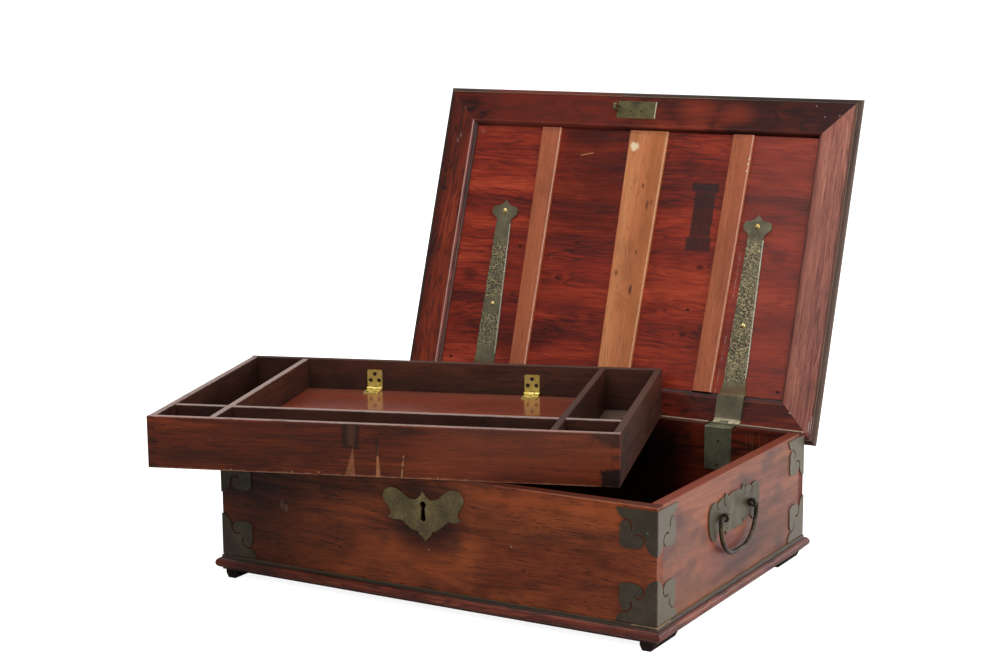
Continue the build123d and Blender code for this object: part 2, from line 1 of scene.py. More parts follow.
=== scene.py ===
"""Looks of the travelling desk box: its finishes, small fasteners, light and camera.

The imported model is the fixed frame. Everything is in metres in that frame: X runs along the
front, Y from front to back, Z up, with the lid open on its stop and the till askew on the rim.
"""

from __future__ import annotations

import logging
import math
from dataclasses import dataclass
from enum import Enum

import bmesh
import bpy
from mathutils import Matrix, Vector


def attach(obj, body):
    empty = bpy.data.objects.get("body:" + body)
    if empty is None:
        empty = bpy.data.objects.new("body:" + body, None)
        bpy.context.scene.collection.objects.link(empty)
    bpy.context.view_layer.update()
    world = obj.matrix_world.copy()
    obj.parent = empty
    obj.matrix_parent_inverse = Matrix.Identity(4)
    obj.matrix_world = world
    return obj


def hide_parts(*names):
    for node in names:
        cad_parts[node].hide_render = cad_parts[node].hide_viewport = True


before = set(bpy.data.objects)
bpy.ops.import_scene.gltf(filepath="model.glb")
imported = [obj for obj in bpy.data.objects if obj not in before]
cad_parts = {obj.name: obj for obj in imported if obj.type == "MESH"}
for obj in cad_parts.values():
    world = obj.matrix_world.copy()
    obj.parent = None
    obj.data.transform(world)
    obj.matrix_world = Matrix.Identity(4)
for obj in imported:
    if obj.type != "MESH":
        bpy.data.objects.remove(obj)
log = logging.getLogger("desk_box")

Socket = bpy.types.NodeSocket
Point = tuple[float, float, float]
Colour = tuple[float, float, float, float]

MM = 0.001
LID_OPEN = math.radians(108.26)
PIVOT = Vector((0, 178.1, 136.15)) * MM
TILL_YAW = math.radians(18.85)
TILL_CENTRE = Vector((-89.0, -50.0, 138.1)) * MM
LEAVES = (-157.0, 156.0)  # middles of the lower hinge leaves, in millimetres
SLANT = Vector((1.0, 3.71, 13.3))  # puts corners and faces in the same order each run

LID = Matrix.Translation(PIVOT) @ Matrix.Rotation(-LID_OPEN, 4, "X") @ Matrix.Translation(-PIVOT)
TILL = Matrix.Translation(TILL_CENTRE) @ Matrix.Rotation(TILL_YAW, 4, "Z")


def tone(card: str) -> Colour:
    """Reads a paint card.

    Args:
        card: The colour as six hexadecimal digits, as seen on a screen.

    Returns:
        Linear red, green, blue and alpha.
    """
    parts = [int(card[i:i + 2], 16) / 255 for i in (0, 2, 4)]
    linear = [p / 12.92 if p <= 0.04045 else ((p + 0.055) / 1.055) ** 2.4 for p in parts]
    return (linear[0], linear[1], linear[2], 1.0)


class Lie(Enum):
    """How a board lies, as the turn from its own grain axis X to the frame it belongs to."""

    CASE_LONG = "case, grain along the front"
    CASE_CROSS = "case, grain from front to back"
    LID_LONG = "lid, grain along the front"
    LID_CROSS = "lid, grain from front to back"
    TILL_LONG = "till, grain along its front"
    TILL_CROSS = "till, grain across it"

    def home(self) -> Matrix:
        """Gives the matrix from the shared frame to the frame that marks are given in."""
        frames = {"CASE": Matrix.Identity(4), "LID": LID, "TILL": TILL}
        return frames[self.name.split("_")[0]].inverted()

    def to_board(self) -> Matrix:
        """Gives the matrix from the shared frame to the board's own axes, X along the grain."""
        crosswise = self.name.endswith("CROSS")
        turn = Matrix.Rotation(-math.pi / 2, 4, "Z") if crosswise else Matrix.Identity(4)
        return turn @ self.home()


class Graph:
    """The node tree of one material, built by short calls that return sockets."""

    def __init__(self, name: str) -> None:
        """Starts an empty tree with one shader.

        Args:
            name: The material's name.
        """
        self.material = bpy.data.materials.new(name)
        self.material.use_nodes = True
        self.tree = self.material.node_tree
        self.tree.nodes.clear()
        out = self.tree.nodes.new("ShaderNodeOutputMaterial")
        self.shader = self.tree.nodes.new("ShaderNodeBsdfPrincipled")
        self.tree.links.new(self.shader.outputs["BSDF"], out.inputs["Surface"])

    def feed(self, target: Socket, value: Socket | float | tuple) -> None:
        """Links a socket to an input, or sets the input's own constant.

        Args:
            target: The input.
            value: A socket or a constant.
        """
        if isinstance(value, bpy.types.NodeSocket):
            self.tree.links.new(value, target)
        else:
            target.default_value = value

    def surface(self, **inputs: Socket | float | tuple) -> None:
        """Feeds the shader. An input's name is written with underscores for spaces."""
        for name, value in inputs.items():
            self.feed(self.shader.inputs[name.replace("_", " ")], value)

    def place(self, to_board: Matrix | None = None) -> Socket:
        """Reads Object coordinates, turned and moved to a board's own axes.

        Args:
            to_board: The matrix to those axes, or None for the shared frame.

        Returns:
            The coordinates in metres.
        """
        coords = self.tree.nodes.new("ShaderNodeTexCoord").outputs["Object"]
        if to_board is None:
            return coords
        mapping = self.tree.nodes.new("ShaderNodeMapping")
        mapping.inputs["Rotation"].default_value = to_board.to_euler("XYZ")
        mapping.inputs["Location"].default_value = to_board.to_translation()
        self.feed(mapping.inputs["Vector"], coords)
        return mapping.outputs["Vector"]

    def stretch(self, vector: Socket, scale: Point, shift: Point = (0, 0, 0)) -> Socket:
        """Scales coordinates by axis, then shifts them.

        Args:
            vector: The coordinates.
            scale: Cycles per metre along each axis.
            shift: An offset that makes one board differ from the next.

        Returns:
            The new coordinates.
        """
        mapping = self.tree.nodes.new("ShaderNodeMapping")
        mapping.inputs["Scale"].default_value = scale
        mapping.inputs["Location"].default_value = shift
        self.feed(mapping.inputs["Vector"], vector)
        return mapping.outputs["Vector"]

    def noise(self, vector: Socket, scale: float = 1.0, detail: float = 3.0,
              rough: float = 0.55, swirl: float = 0.0) -> Socket:
        """Adds a noise texture.

        Args:
            vector: The coordinates.
            scale: Cycles per unit of the coordinates.
            detail: Octaves.
            rough: Weight of the finer octaves.
            swirl: Distortion.

        Returns:
            The noise, mostly from 0.3 to 0.7.
        """
        node = self.tree.nodes.new("ShaderNodeTexNoise")
        self.feed(node.inputs["Vector"], vector)
        node.inputs["Scale"].default_value = scale
        node.inputs["Detail"].default_value = detail
        node.inputs["Roughness"].default_value = rough
        node.inputs["Distortion"].default_value = swirl
        return node.outputs["Fac"]

    def cells(self, vector: Socket, scale: float, feature: str = "F1") -> Socket:
        """Adds a Voronoi texture.

        Args:
            vector: The coordinates.
            scale: Cells per unit.
            feature: Which distance it gives.

        Returns:
            The distance.
        """
        node = self.tree.nodes.new("ShaderNodeTexVoronoi")
        node.feature = feature
        self.feed(node.inputs["Vector"], vector)
        node.inputs["Scale"].default_value = scale
        return node.outputs["Distance"]

    def ramp(self, value: Socket, *stops: tuple[float, Colour]) -> Socket:
        """Turns a value into a colour.

        Args:
            value: The value.
            stops: Positions and colours in rising order.

        Returns:
            The colour.
        """
        node = self.tree.nodes.new("ShaderNodeValToRGB")
        marks = node.color_ramp.elements
        while len(marks) < len(stops):
            marks.new(0.5)
        for mark, (at, colour) in zip(marks, stops):
            mark.position = at
            mark.color = colour
        self.feed(node.inputs["Fac"], value)
        return node.outputs["Color"]

    def span(self, value: Socket, low: float, high: float, start: float = 0.0,
             end: float = 1.0) -> Socket:
        """Maps a range of a value smoothly to another range and holds it beyond the ends.

        Args:
            value: The value.
            low: Where the change starts.
            high: Where it ends; it may be below low.
            start: The result at low.
            end: The result at high.

        Returns:
            The mapped value.
        """
        node = self.tree.nodes.new("ShaderNodeMapRange")
        node.interpolation_type = "SMOOTHSTEP"
        self.feed(node.inputs["Value"], value)
        node.inputs["From Min"].default_value = low
        node.inputs["From Max"].default_value = high
        node.inputs["To Min"].default_value = start
        node.inputs["To Max"].default_value = end
        return node.outputs["Result"]

    def calc(self, operation: str, a: Socket | float, b: Socket | float = 0.0,
             c: Socket | float = 0.0) -> Socket:
        """Adds one arithmetic node.

        Args:
            operation: Its operation, such as MULTIPLY.
            a: The first value.
            b: The second value.
            c: The third value, for an operation that has one.

        Returns:
            The result.
        """
        node = self.tree.nodes.new("ShaderNodeMath")
        node.operation = operation
        for slot_in, value in zip(node.inputs, (a, b, c)):
            self.feed(slot_in, value)
        return node.outputs["Value"]

    def mix(self, share: Socket | float, a: Socket | Colour, b: Socket | Colour,
            mode: str = "MIX") -> Socket:
        """Mixes two colours.

        Args:
            share: How much of the second.
            a: The first colour.
            b: The second colour.
            mode: The blend mode.

        Returns:
            The mixed colour.
        """
        node = self.tree.nodes.new("ShaderNodeMix")
        node.data_type = "RGBA"
        node.blend_type = mode
        for name, value in (("Factor_Float", share), ("A_Color", a), ("B_Color", b)):
            target = next(s for s in node.inputs if s.identifier == name)
            self.feed(target, value)
        return next(s for s in node.outputs if s.identifier == "Result_Color")

    def axes(self, vector: Socket) -> tuple[Socket, Socket, Socket]:
        """Splits coordinates into X, Y and Z."""
        node = self.tree.nodes.new("ShaderNodeSeparateXYZ")
        self.feed(node.inputs[0], vector)
        return node.outputs[0], node.outputs[1], node.outputs[2]

    def offset(self, vector: Socket, push: Socket, by: Point) -> Socket:
        """Moves coordinates by a value along a direction.

        Args:
            vector: The coordinates.
            push: The value.
            by: The direction and size of the move for a value of one.

        Returns:
            The moved coordinates.
        """
        node = self.tree.nodes.new("ShaderNodeVectorMath")
        node.operation = "MULTIPLY_ADD"
        self.feed(node.inputs[0], push)
        node.inputs[1].default_value = by
        self.feed(node.inputs[2], vector)
        return node.outputs["Vector"]

    def band(self, value: Socket, low: float, high: float, soft: float) -> Socket:
        """Masks the stretch of a value between two limits.

        Args:
            value: The value.
            low: Lower limit.
            high: Upper limit.
            soft: Width of each soft edge.

        Returns:
            1 inside and 0 outside.
        """
        rise = self.span(value, low - soft, low + soft)
        fall = self.span(value, high + soft, high - soft)
        return self.calc("MULTIPLY", rise, fall)

    def spot(self, vector: Socket, centre: Point, radius: float, soft: float,
             squash: Point = (1, 1, 1)) -> Socket:
        """Masks a round or oval spot.

        Args:
            vector: The coordinates.
            centre: The spot's middle.
            radius: Its radius.
            soft: Width of its soft edge.
            squash: How much shorter it is along each axis; 0 runs it right through.

        Returns:
            1 inside and 0 outside.
        """
        shift = tuple(-c * s for c, s in zip(centre, squash))
        near = self.stretch(vector, squash, shift)
        node = self.tree.nodes.new("ShaderNodeVectorMath")
        node.operation = "LENGTH"
        self.feed(node.inputs[0], near)
        return self.span(node.outputs["Value"], radius + soft, max(radius - soft, 0.0))

    def vector(self, operation: str, a: Socket, b: Socket | Point) -> bpy.types.Node:
        """Adds one vector node.

        Args:
            operation: Its operation, such as SUBTRACT.
            a: The first vector.
            b: The second vector.

        Returns:
            The node.
        """
        node = self.tree.nodes.new("ShaderNodeVectorMath")
        node.operation = operation
        self.feed(node.inputs[0], a)
        self.feed(node.inputs[1], b)
        return node

    def line(self, vector: Socket, start: Vector, end: Vector, radius: float, soft: float,
             taper: float = 0.0) -> Socket:
        """Masks a straight line.

        Args:
            vector: The coordinates.
            start: Where it starts.
            end: Where it ends.
            radius: Half its width.
            soft: Width of its soft edge.
            taper: How much narrower it is at its start, from 0 to 1.

        Returns:
            1 on the line and 0 away from it.
        """
        run = end - start
        from_start = self.vector("SUBTRACT", vector, tuple(start)).outputs["Vector"]
        share = self.vector("DOT_PRODUCT", from_start, tuple(run / run.length_squared))
        clamp = self.tree.nodes.new("ShaderNodeClamp")
        self.feed(clamp.inputs["Value"], share.outputs["Value"])
        along = clamp.outputs["Result"]
        foot = self.vector("MULTIPLY", along, tuple(run)).outputs["Vector"]
        apart = self.vector("SUBTRACT", from_start, foot).outputs["Vector"]
        length = self.tree.nodes.new("ShaderNodeVectorMath")
        length.operation = "LENGTH"
        self.feed(length.inputs[0], apart)
        reach = length.outputs["Value"]
        if taper:
            room = self.calc("MULTIPLY_ADD", along, radius * taper, radius * (1 - taper))
            reach = self.calc("ADD", self.calc("SUBTRACT", reach, room), radius)
        return self.span(reach, radius + soft, max(radius - soft, 0.0))

    def relief(self, height: Socket, depth: float) -> Socket:
        """Adds a bump.

        Args:
            height: The height from 0 to 1.
            depth: Its depth in metres.

        Returns:
            The normal.
        """
        node = self.tree.nodes.new("ShaderNodeBump")
        node.inputs["Strength"].default_value = 1.0
        node.inputs["Distance"].default_value = depth
        self.feed(node.inputs["Height"], height)
        return node.outputs["Normal"]


@dataclass
class Layers:
    """What a finish has built up so far, for marks to change."""

    graph: Graph
    coords: Socket
    colour: Socket
    rough: Socket
    height: Socket

    def tint(self, share: Socket, colour: Socket | Colour, mode: str = "MIX") -> None:
        """Lays a colour over the finish where a mask says."""
        self.colour = self.graph.mix(share, self.colour, colour, mode)

    def dull(self, share: Socket, amount: float) -> None:
        """Makes the finish rougher, or smoother with a negative amount, where a mask says."""
        added = self.graph.calc("MULTIPLY", share, amount)
        self.rough = self.graph.calc("ADD", self.rough, added)

    def sink(self, share: Socket, amount: float) -> None:
        """Lowers the surface where a mask says."""
        taken = self.graph.calc("MULTIPLY", share, amount)
        self.height = self.graph.calc("SUBTRACT", self.height, taken)


class Mark:
    """Something that growth, age or use left, or a painted highlight, sheen or shade. Places are
    millimetres in the piece's home frame.

    The home frame is the shared one for the case, the shut lid for the lid and the till's own
    for the till. The base class leaves nothing.
    """

    def push(self, graph: Graph, coords: Socket) -> Socket | None:
        """Gives what the mark adds to the field that the wood's figure follows, if anything."""
        return None

    def lay(self, on: Layers) -> None:
        """Adds the mark to the layers of a finish."""


@dataclass(frozen=True)
class Patch(Mark):
    """A box-shaped area of another colour with a ragged edge. None leaves a side open.

    Its face is an axis number and the two places on that axis that the patch stays between, so
    that a mark on one side of a board doesn't show on the other.
    """

    x: tuple[float, float] | None = None
    y: tuple[float, float] | None = None
    z: tuple[float, float] | None = None
    colour: str = "000000"
    strength: float = 0.8
    soft: float = 1.5
    ragged: float = 3.0
    grain: float = 60.0
    mode: str = "MIX"
    dull: float = 0.0
    depth: float = 0.0
    face: tuple[int, float, float] | None = None

    def lay(self, on: Layers) -> None:
        """Adds the patch to the layers of a finish."""
        g = on.graph
        moved = on.coords
        if self.ragged:
            wobble = g.calc("SUBTRACT", g.noise(on.coords, self.grain, 3, 0.6), 0.5)
            moved = g.offset(on.coords, wobble, (self.ragged * 4 * MM,) * 3)
        mask = self.strength
        for value, limits in zip(g.axes(moved), (self.x, self.y, self.z)):
            if limits is not None:
                one = g.band(value, limits[0] * MM, limits[1] * MM, self.soft * MM)
                mask = g.calc("MULTIPLY", one, mask)
        if self.face is not None:
            axis, low, high = self.face
            here = g.band(g.axes(on.coords)[axis], low * MM, high * MM, 0.3 * MM)
            mask = g.calc("MULTIPLY", here, mask)
        on.tint(mask, tone(self.colour), self.mode)
        if self.dull:
            on.dull(mask, self.dull)
        if self.depth:
            on.sink(mask, self.depth)


@dataclass(frozen=True)
class Spots(Mark):
    """Round or oval marks at given points."""

    at: tuple[Point, ...]
    radius: float
    colour: str
    strength: float = 0.9
    soft: float = 0.5
    squash: Point = (1, 1, 1)
    depth: float = 0.0
    mode: str = "MIX"

    def lay(self, on: Layers) -> None:
        """Adds the spots to the layers of a finish."""
        g = on.graph
        mask = None
        for centre in self.at:
            point = tuple(c * MM for c in centre)
            one = g.spot(on.coords, point, self.radius * MM, self.soft * MM, self.squash)
            mask = one if mask is None else g.calc("MAXIMUM", mask, one)
        mask = g.calc("MULTIPLY", mask, self.strength)
        on.tint(mask, tone(self.colour), self.mode)
        if self.depth:
            on.sink(mask, self.depth)


@dataclass(frozen=True)
class Strokes(Mark):
    """Straight lines from point to point, such as scratches, joints, rubbed edges and painted
    highlights.

    A taper of 1 makes a wedge that starts at nothing.
    """

    runs: tuple[tuple[Point, Point], ...]
    width: float
    colour: str
    strength: float = 0.7
    soft: float = 0.4
    broken: float = 0.0
    taper: float = 0.0
    depth: float = 0.0
    shine: float = 0.0

    def lay(self, on: Layers) -> None:
        """Adds the lines to the layers of a finish."""
        g = on.graph
        mask = None
        for a, b in self.runs:
            start, end = Vector(a) * MM, Vector(b) * MM
            one = g.line(on.coords, start, end, self.width / 2 * MM, self.soft * MM, self.taper)
            mask = one if mask is None else g.calc("MAXIMUM", mask, one)
        if self.broken:
            gaps = g.span(g.noise(on.coords, 170, 3, 0.6), 0.42, 0.58, 1 - self.broken, 1)
            mask = g.calc("MULTIPLY", mask, gaps)
        mask = g.calc("MULTIPLY", mask, self.strength)
        on.tint(mask, tone(self.colour))
        if self.depth:
            on.sink(mask, self.depth)
        if self.shine:
            on.dull(mask, -self.shine)


@dataclass(frozen=True)
class Knots(Mark):
    """Dark knots that the growth lines run round."""

    at: tuple[Point, ...]
    radius: float
    colour: str = "1d0a08"
    strength: float = 0.75
    reach: float = 5.0
    swell: float = 0.22
    squash: Point = (0.62, 1, 1)

    def push(self, graph: Graph, coords: Socket) -> Socket:
        """Gives the swelling of the wood's figure round the knots."""
        total = None
        for centre in self.at:
            point = tuple(c * MM for c in centre)
            wide = self.radius * self.reach * MM
            one = graph.spot(coords, point, wide / 2, wide / 2, self.squash)
            total = one if total is None else graph.calc("ADD", total, one)
        return graph.calc("MULTIPLY", total, self.swell)

    def lay(self, on: Layers) -> None:
        """Darkens the knots' hearts."""
        Spots(self.at, self.radius, self.colour, self.strength, self.radius * 0.7,
              self.squash).lay(on)


@dataclass(frozen=True)
class Dovetails(Mark):
    """The end grain of dovetail pins along an upright corner joint."""

    x: tuple[float, float]
    pitch: float = 12.5
    colour: str = "22120c"
    strength: float = 0.5

    def lay(self, on: Layers) -> None:
        """Adds the pins to the layers of a finish."""
        g = on.graph
        across, _, up = g.axes(on.coords)
        wave = g.calc("SINE", g.calc("MULTIPLY", up, 2 * math.pi / (self.pitch * MM)))
        pins = g.span(wave, 0.1, 0.35)
        column = g.band(across, self.x[0] * MM, self.x[1] * MM, 0.3 * MM)
        on.tint(g.calc("MULTIPLY", g.calc("MULTIPLY", pins, column), self.strength),
                tone(self.colour))


@dataclass(frozen=True)
class Chasing(Mark):
    """Scrollwork cut in brass between two places along Y, rubbed bright on its ridges."""

    stretches: tuple[tuple[float, float], ...]
    scrolls: float = 215.0
    turns: float = 2.2
    bright: str = "e6cf98"
    dark: str = "37301f"
    strength: float = 0.62
    depth: float = 1.0

    def lay(self, on: Layers) -> None:
        """Adds the scrollwork to the layers of a finish."""
        g = on.graph
        wobble = g.calc("SUBTRACT", g.noise(on.coords, 210, 2, 0.5), 0.5)
        moved = g.offset(on.coords, wobble, (7 * MM, 7 * MM, 0))
        near = g.cells(moved, self.scrolls)
        wave = g.calc("SINE", g.calc("MULTIPLY", near, self.turns * 2 * math.pi))
        _, along, _ = g.axes(on.coords)
        field = None
        for low, high in self.stretches:
            one = g.band(along, low * MM, high * MM, 5 * MM)
            field = one if field is None else g.calc("MAXIMUM", field, one)
        rubbed = g.span(g.noise(on.coords, 420, 2, 0.6), 0.40, 0.62)
        ridge = g.calc("MULTIPLY", g.calc("MULTIPLY", g.span(wave, 0.0, 0.8), field), rubbed)
        groove = g.calc("MULTIPLY", g.span(wave, 0.0, -0.8), field)
        on.tint(g.calc("MULTIPLY", groove, self.strength * 0.8), tone(self.dark))
        on.tint(g.calc("MULTIPLY", ridge, self.strength), tone(self.bright))
        on.dull(ridge, -0.12)
        on.sink(groove, self.depth)


@dataclass(frozen=True)
class Wood:
    """Old hardwood under wax: colour zones, growth lines, fibre, flecks, soil and wear.

    Colours are paint cards. Lengths are in metres.
    """

    name: str
    dark: str
    body: str
    light: str
    slot: str
    length: float = 0.16
    streak: float = 0.018
    rings: float = 9.0
    veins: float = 0.5
    zones: float = 0.9
    fibre: float = 0.35
    flecks: float = 0.5
    fleck: float = 0.013
    sway: float = 0.012
    grime: float = 0.4
    gloss: float = 0.42
    shine: float = 0.3
    wax: float = 0.0
    wax_rough: float = 0.15
    depth: float = 0.00010

    def paint(self, node: str, lie: Lie, seed: float,
              marks: tuple[Mark, ...] = ()) -> bpy.types.Material:
        """Makes the material of one board.

        Args:
            node: The board's node.
            lie: How the board lies.
            seed: Moves the figure so that boards differ.
            marks: What growth and age left on it, and painted light and shade.

        Returns:
            The material.
        """
        g = Graph(f"{self.name}.{node}")
        flat = g.place(lie.to_board())
        coords = g.place(lie.home())
        shift = (seed * 3.1, seed * 7.7, seed * 1.9)
        sway = g.calc("SUBTRACT", g.noise(g.stretch(flat, (5, 9, 9), shift), 1, 2, 0.5), 0.5)
        bent = g.offset(flat, sway, (0, self.sway * 2, self.sway * 2))
        a, b = 1 / self.length, 1 / self.streak
        swell = g.noise(g.stretch(bent, (a, b, b), shift), 1, 2, 0.45)
        for mark in marks:
            pushed = mark.push(g, coords)
            if pushed is not None:
                swell = g.calc("ADD", swell, pushed)
        wave = g.calc("SINE", g.calc("MULTIPLY", swell, self.rings * 2 * math.pi))
        fade = g.noise(g.stretch(bent, (a * 1.3, b * 0.9, b * 0.9), (7, 3, 5)), 1, 2, 0.5)
        veins = g.calc("MULTIPLY", g.span(wave, -0.1, 1.0), g.span(fade, 0.38, 0.62))
        zones = g.noise(g.stretch(bent, (a * 0.45, b * 0.55, b * 0.55), shift), 1, 3, 0.5)
        ribbon = g.noise(g.stretch(bent, (a * 0.9, b * 5, b * 5), shift), 1, 3, 0.6)
        fibre = g.noise(g.stretch(flat, (26, 560, 560), shift), 1, 3, 0.65)
        fleck = g.noise(g.stretch(bent, (1 / self.fleck, 900, 900), shift), 1, 2, 0.45)
        darkening = g.noise(g.stretch(flat, (14, 26, 26), shift), 1, 3, 0.6)
        value = g.calc("MULTIPLY_ADD", g.calc("SUBTRACT", zones, 0.5), self.zones, 0.5)
        value = g.calc("MULTIPLY_ADD", g.calc("SUBTRACT", ribbon, 0.5), self.veins, value)
        value = g.calc("MULTIPLY_ADD", g.calc("SUBTRACT", fibre, 0.5), self.fibre, value)
        value = g.calc("MULTIPLY_ADD", veins, self.veins * -0.42, value)
        colour = g.ramp(value, (0.22, tone(self.dark)), (0.5, tone(self.body)),
                        (0.74, tone(self.light)))
        dashes = g.span(fleck, 0.56, 0.68)
        colour = g.mix(g.calc("MULTIPLY", dashes, self.flecks), colour, tone("260d08"))
        colour = g.mix(g.span(darkening, 0.46, 0.70, 0.0, self.grime), colour, tone("80695c"),
                       "MULTIPLY")
        rough = g.span(value, 0.25, 0.7, self.gloss + 0.08, self.gloss - 0.04)
        height = g.calc("SUBTRACT", g.calc("MULTIPLY", fibre, 0.5),
                        g.calc("MULTIPLY", dashes, 0.7))
        layers = Layers(g, coords, colour, rough, height)
        for mark in marks:
            mark.lay(layers)
        g.surface(Base_Color=layers.colour, Roughness=layers.rough, Specular_IOR_Level=self.shine,
                  Coat_Weight=self.wax, Coat_Roughness=self.wax_rough,
                  Normal=g.relief(layers.height, self.depth))
        return g.material


@dataclass(frozen=True)
class Brass:
    """Old brass: clouds of patina, fine speckle, pits, and metal that rubbing has bared."""

    name: str
    dark: str
    body: str
    bright: str
    slot: str
    patch: float = 70.0
    cloud: float = 0.9
    speckle: float = 0.5
    pits: float = 0.0
    mottle: float = 800.0
    gloss: float = 0.42
    metal: float = 0.6
    depth: float = 0.00008
    shine: float = 0.5

    def paint(self, node: str, seed: float, marks: tuple[Mark, ...] = (),
              lie: Lie = Lie.CASE_LONG) -> bpy.types.Material:
        """Makes the material of one fitting.

        Args:
            node: The fitting's node.
            seed: Moves the clouds so that fittings differ.
            marks: What age left on it, and painted highlights and sheen.
            lie: The frame that marks are given in.

        Returns:
            The material.
        """
        g = Graph(f"{self.name}.{node}")
        coords = g.place(lie.home())
        moved = g.stretch(coords, (1, 1, 1), (seed * 0.31, seed * 0.17, seed * 0.23))
        broad = g.noise(moved, self.patch, 4, 0.6, 0.2)
        fine = g.noise(moved, self.mottle, 3, 0.6)
        value = g.calc("MULTIPLY_ADD", g.calc("SUBTRACT", broad, 0.5), self.cloud, 0.5)
        value = g.calc("MULTIPLY_ADD", g.calc("SUBTRACT", fine, 0.5), self.speckle, value)
        colour = g.ramp(value, (0.3, tone(self.dark)), (0.5, tone(self.body)),
                        (0.72, tone(self.bright)))
        rough = g.span(value, 0.3, 0.7, self.gloss + 0.14, self.gloss - 0.06)
        height = g.calc("MULTIPLY", fine, 0.6)
        layers = Layers(g, coords, colour, rough, height)
        if self.pits:
            pits = g.span(g.cells(moved, 190), 0.20, 0.08)
            some = g.span(g.noise(moved, 95, 2, 0.5), 0.50, 0.58)
            mask = g.calc("MULTIPLY", g.calc("MULTIPLY", pits, some), self.pits)
            layers.tint(mask, tone("16120b"))
            layers.sink(mask, 0.8)
        for mark in marks:
            mark.lay(layers)
        metal = g.span(value, 0.3, 0.65, self.metal * 0.55, self.metal)
        g.surface(Base_Color=layers.colour, Roughness=layers.rough, Metallic=metal,
                  Specular_IOR_Level=self.shine, Normal=g.relief(layers.height, self.depth))
        return g.material


def dress(node: str, finish: Wood | Brass, *how: Lie | float | tuple[Mark, ...]) -> None:
    """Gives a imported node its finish.

    Args:
        node: The node's name.
        finish: The wood or brass.
        how: What that finish's paint method takes after the node's name.
    """
    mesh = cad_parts[node].data
    mesh.materials.clear()
    mesh.materials.append(finish.paint(node, *how))
    log.info("dressed %s", node)


def finished(name: str, bm: bmesh.types.BMesh, material: bpy.types.Material, body: str,
             smooth: bool = False) -> bpy.types.Object:
    """Turns a bmesh into a piece that rides on a body.

    Args:
        name: The piece's name.
        bm: Its shape, already in place.
        material: Its finish.
        body: The body that carries it.
        smooth: Whether it is shaded smooth.

    Returns:
        The piece.
    """
    bm.verts.sort(key=lambda v: v.co.dot(SLANT))
    bm.faces.sort(key=lambda f: f.calc_center_median().dot(SLANT))
    for face in bm.faces:
        face.smooth = smooth
    mesh = bpy.data.meshes.new(name)
    bm.to_mesh(mesh)
    bm.free()
    mesh.materials.append(material)
    piece = bpy.data.objects.new(name, mesh)
    bpy.context.scene.collection.objects.link(piece)
    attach(piece, body)
    log.info("made %s with %d faces", name, len(mesh.polygons))
    return piece


def join(bm: bmesh.types.BMesh, part: bmesh.types.BMesh, at: Matrix) -> None:
    """Moves a part to its place and adds it to a shape.

    Args:
        bm: The shape.
        part: The part, a closed shell, which is used up.
        at: The part's place.
    """
    bmesh.ops.recalc_face_normals(part, faces=part.faces)
    if part.calc_volume(signed=True) < 0:
        bmesh.ops.reverse_faces(part, faces=part.faces)
    bmesh.ops.transform(part, matrix=at, verts=part.verts)
    carrier = bpy.data.meshes.new("carrier")
    part.to_mesh(carrier)
    part.free()
    bm.from_mesh(carrier)
    bpy.data.meshes.remove(carrier)


@dataclass(frozen=True)
class Screw:
    """A flat slotted screw head, sunk in its hole. Sizes are in metres."""

    radius: float
    slot_width: float = 0.7 * MM
    slot_depth: float = 0.5 * MM
    shank: float = 0.9 * MM

    def head(self, bm: bmesh.types.BMesh, at: Matrix) -> None:
        """Adds a head to a shape.

        Args:
            bm: The shape.
            at: Where the head's face lies; Z points out of the surface.
        """
        part = bmesh.new()
        bmesh.ops.create_circle(part, cap_ends=True, segments=20, radius=self.radius)
        for side in (-0.5, 0.5):
            everything = part.verts[:] + part.edges[:] + part.faces[:]
            bmesh.ops.bisect_plane(part, geom=everything, plane_no=(0, 1, 0),
                                   plane_co=(0, side * self.slot_width, 0))
        middle = min(part.faces, key=lambda f: abs(f.calc_center_median().y))
        cut = bmesh.ops.extrude_discrete_faces(part, faces=[middle])["faces"]
        bmesh.ops.translate(part, vec=(0, 0, -self.slot_depth), verts=cut[0].verts[:])
        rim = [e for e in part.edges if e.is_boundary and all(v.co.z > -1e-6 for v in e.verts)]
        skirt = bmesh.ops.extrude_edge_only(part, edges=rim)["geom"]
        lower = [v for v in skirt if isinstance(v, bmesh.types.BMVert)]
        bmesh.ops.scale(part, vec=(0.7, 0.7, 1), verts=lower)
        bmesh.ops.translate(part, vec=(0, 0, -self.shank), verts=lower)
        bmesh.ops.remove_doubles(part, verts=part.verts, dist=0.001 * MM)
        bmesh.ops.holes_fill(part, edges=[e for e in part.edges if e.is_boundary], sides=0)
        join(bm, part, at)


def facing(origin: Vector, out: Vector, turn: float = 0.0) -> Matrix:
    """Gives a place whose Z points out of a surface.

    Args:
        origin: The place.
        out: The direction out of the surface.
        turn: Turn about that direction, in degrees.

    Returns:
        The matrix.
    """
    turned = out.to_track_quat("Z", "Y").to_matrix().to_4x4()
    return Matrix.Translation(origin) @ turned @ Matrix.Rotation(math.radians(turn), 4, "Z")


